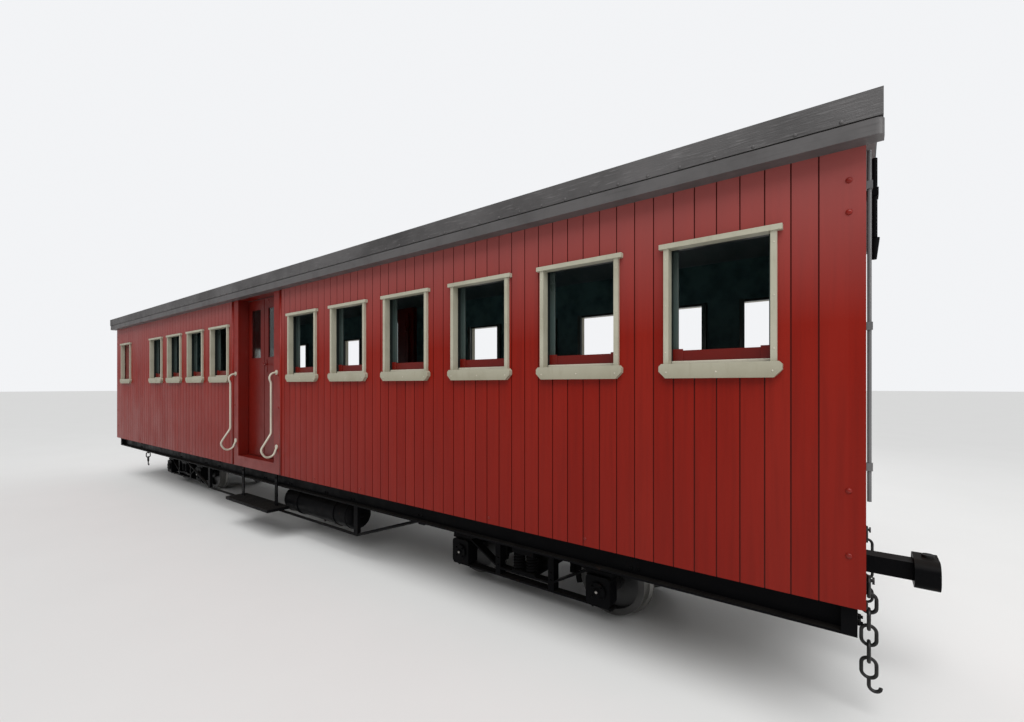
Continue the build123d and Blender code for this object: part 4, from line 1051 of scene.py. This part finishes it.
# Turnbuckles and nuts of the truss rods
turnbuckle_bar = (0.200, 0.010, 0.024)
turnbuckle_spread = 0.018
turnbuckle_nut_x = 0.105
turnbuckle_nut = (0.025, 0.034)
anchor_nut = (0.024, 0.030)
rod_low_z = low("truss_rods").z
rod_z = rod_low_z + truss_rod_radius
rod_y = high("truss_rods").y - truss_anchor_half
bm = bmesh.new()
for sign in SIDES.values():
    y = sign * rod_y
    for dy in (-turnbuckle_spread, turnbuckle_spread):
        add_box(bm, (0, y + dy, rod_z), turnbuckle_bar, bar_bevel)
    for end_sign in ENDS.values():
        add_nut(bm, (end_sign * turnbuckle_nut_x, y, rod_z), (end_sign, 0, 0), *turnbuckle_nut)
        anchor = (end_sign * high("truss_rods").x, y, rod_low_z + truss_rise)
        add_nut(bm, anchor, (end_sign, 0, 0), *anchor_nut)
finish_mesh("truss_fittings", bm, black_paint, "coach")

# Bands, plugs, cock and pipe of the reservoir
band_inset = 0.075
band_radius = 0.006
band_steps = 48
plug = (0.022, 0.024)
cock = (0.016, 0.030)
pipe_radius = 0.013
pipe_bends = ((0.42, 0.10, 0.08), (0.42, 0.20, 0.13), (0.42, 0.28, 0.20))
tank_low, tank_high = low("reservoir"), high("reservoir")
tank_mid = middle(tank_low, tank_high)
tank_radius = (tank_high.z - tank_low.z) / 2
bm = bmesh.new()
for x in (tank_low.x + band_inset, tank_high.x - band_inset):
    ring = []
    for k in range(band_steps):
        angle = 2 * math.pi * k / band_steps
        y = tank_mid.y + tank_radius * math.cos(angle)
        ring.append((x, y, tank_mid.z + tank_radius * math.sin(angle)))
    add_tube(bm, ring, band_radius, 6, closed=True)
add_nut(bm, (tank_low.x, tank_mid.y, tank_mid.z), (-1, 0, 0), *plug)
add_nut(bm, (tank_high.x, tank_mid.y, tank_mid.z), (1, 0, 0), *plug)
add_nut(bm, (tank_mid.x, tank_mid.y, tank_low.z), (0, 0, -1), *cock)
add_tube(bm, [tank_mid + Vector(bend) for bend in pipe_bends], pipe_radius, 10)
finish_mesh("reservoir_fittings", bm, black_paint, "coach")

# Treads and bolts of the steps
tread_count = 9
tread_inset = 0.030
tread_pitch = 0.022
tread_end_gap = 0.025
tread_width = 0.008
tread_height = 0.005
tread_rise = 0.0015
step_iron_end_gap = 0.120
iron_bolt = (0.011, 0.008)
iron_bolt_heights = (0.60, 0.66)
iron_nut = (0.013, 0.016)
iron_nut_inset = 0.070
for side, sign in SIDES.items():
    step_low, step_high = low(f"step_{side}"), high(f"step_{side}")
    outer_y = step_low.y if sign < 0 else step_high.y
    mid_x = middle(step_low, step_high).x
    half_step = (step_high.x - step_low.x) / 2
    tread_size = (2 * (half_step - tread_end_gap), tread_width, tread_height)
    bm = bmesh.new()
    for k in range(tread_count):
        y = outer_y - sign * (tread_inset + tread_pitch * k)
        add_box(bm, (mid_x, y, step_top_z + tread_rise), tread_size, tread_bevel)
    for dx in (-half_step + step_iron_end_gap, half_step - step_iron_end_gap):
        for z in iron_bolt_heights:
            add_head(bm, (mid_x + dx, sign * step_iron_y, z), (0, sign, 0), *iron_bolt, 10)
        add_nut(bm, (mid_x + dx, outer_y - sign * iron_nut_inset, step_low.z), (0, 0, -1), *iron_nut)
    finish_mesh(f"step_treads_{side}", bm, black_paint, "coach")

# Pale floor
floor_reach = 180.0
floor_mesh = bpy.data.meshes.new("ground")
floor_corners = [(x * floor_reach, y * floor_reach, 0) for x, y in ((-1, -1), (1, -1), (1, 1), (-1, 1))]
floor_mesh.from_pydata(floor_corners, [], [(0, 1, 2, 3)])
ground = bpy.data.objects.new("ground", floor_mesh)
bpy.context.scene.collection.objects.link(ground)
ground_mat, ground_tree, ground_shader = start_material("ground", 0.6)
ground_tone = noise(ground_tree, 0.8, (1, 1, 1), 3.0)
ground_color = blend_colors(ground_tree, ground_tone, GROUND, GROUND_DARK)
place(ground_tree, ground_color, ground_shader.inputs["Base Color"])
floor_mesh.materials.append(ground_mat)

# Surroundings: bright where the camera sees them, directly or through glass, and dimmer as a light
seen_strength = 0.92
light_strength = 0.34
world = bpy.data.worlds.new("studio")
bpy.context.scene.world = world
world.use_nodes = True
world_tree = world.node_tree
background = world_tree.nodes["Background"]
paths = world_tree.nodes.new("ShaderNodeLightPath")
seen = calc(world_tree, "MAXIMUM", paths.outputs["Is Camera Ray"], paths.outputs["Is Transmission Ray"])
strength = remap(world_tree, seen, 0.0, 1.0, light_strength, seen_strength)
background.inputs["Color"].default_value = (0.97, 0.98, 1.0, 1.0)
place(world_tree, strength, background.inputs["Strength"])

# Wide soft light from above and two soft lamps
sky_direction = Vector((-0.25, 0.50, -0.85))
sky_energy = 2.3
sky_spread = math.radians(50)
sun_data = bpy.data.lights.new("sky_light", "SUN")
sun_data.energy = sky_energy
sun_data.angle = sky_spread
sun = bpy.data.objects.new("sky_light", sun_data)
sun.rotation_euler = sky_direction.to_track_quat("-Z", "Y").to_euler()
bpy.context.scene.collection.objects.link(sun)

# name, place, size, power, aim
lamps = (
    ("end", (12.0, -3.0, 5.0), 5.0, 200.0, (4.0, 0.0, 1.2)),
    ("back", (-2.0, 8.0, 6.0), 8.0, 300.0, (0.0, 0.0, 1.2)),
)
for name, spot, size, power, aim in lamps:
    lamp_data = bpy.data.lights.new(name, "AREA")
    lamp_data.shape = "SQUARE"
    lamp_data.size = size
    lamp_data.energy = power
    lamp = bpy.data.objects.new(name, lamp_data)
    lamp.location = spot
    lamp.rotation_euler = (Vector(aim) - Vector(spot)).to_track_quat("-Z", "Y").to_euler()
    bpy.context.scene.collection.objects.link(lamp)

bpy.context.scene.view_settings.view_transform = "Standard"
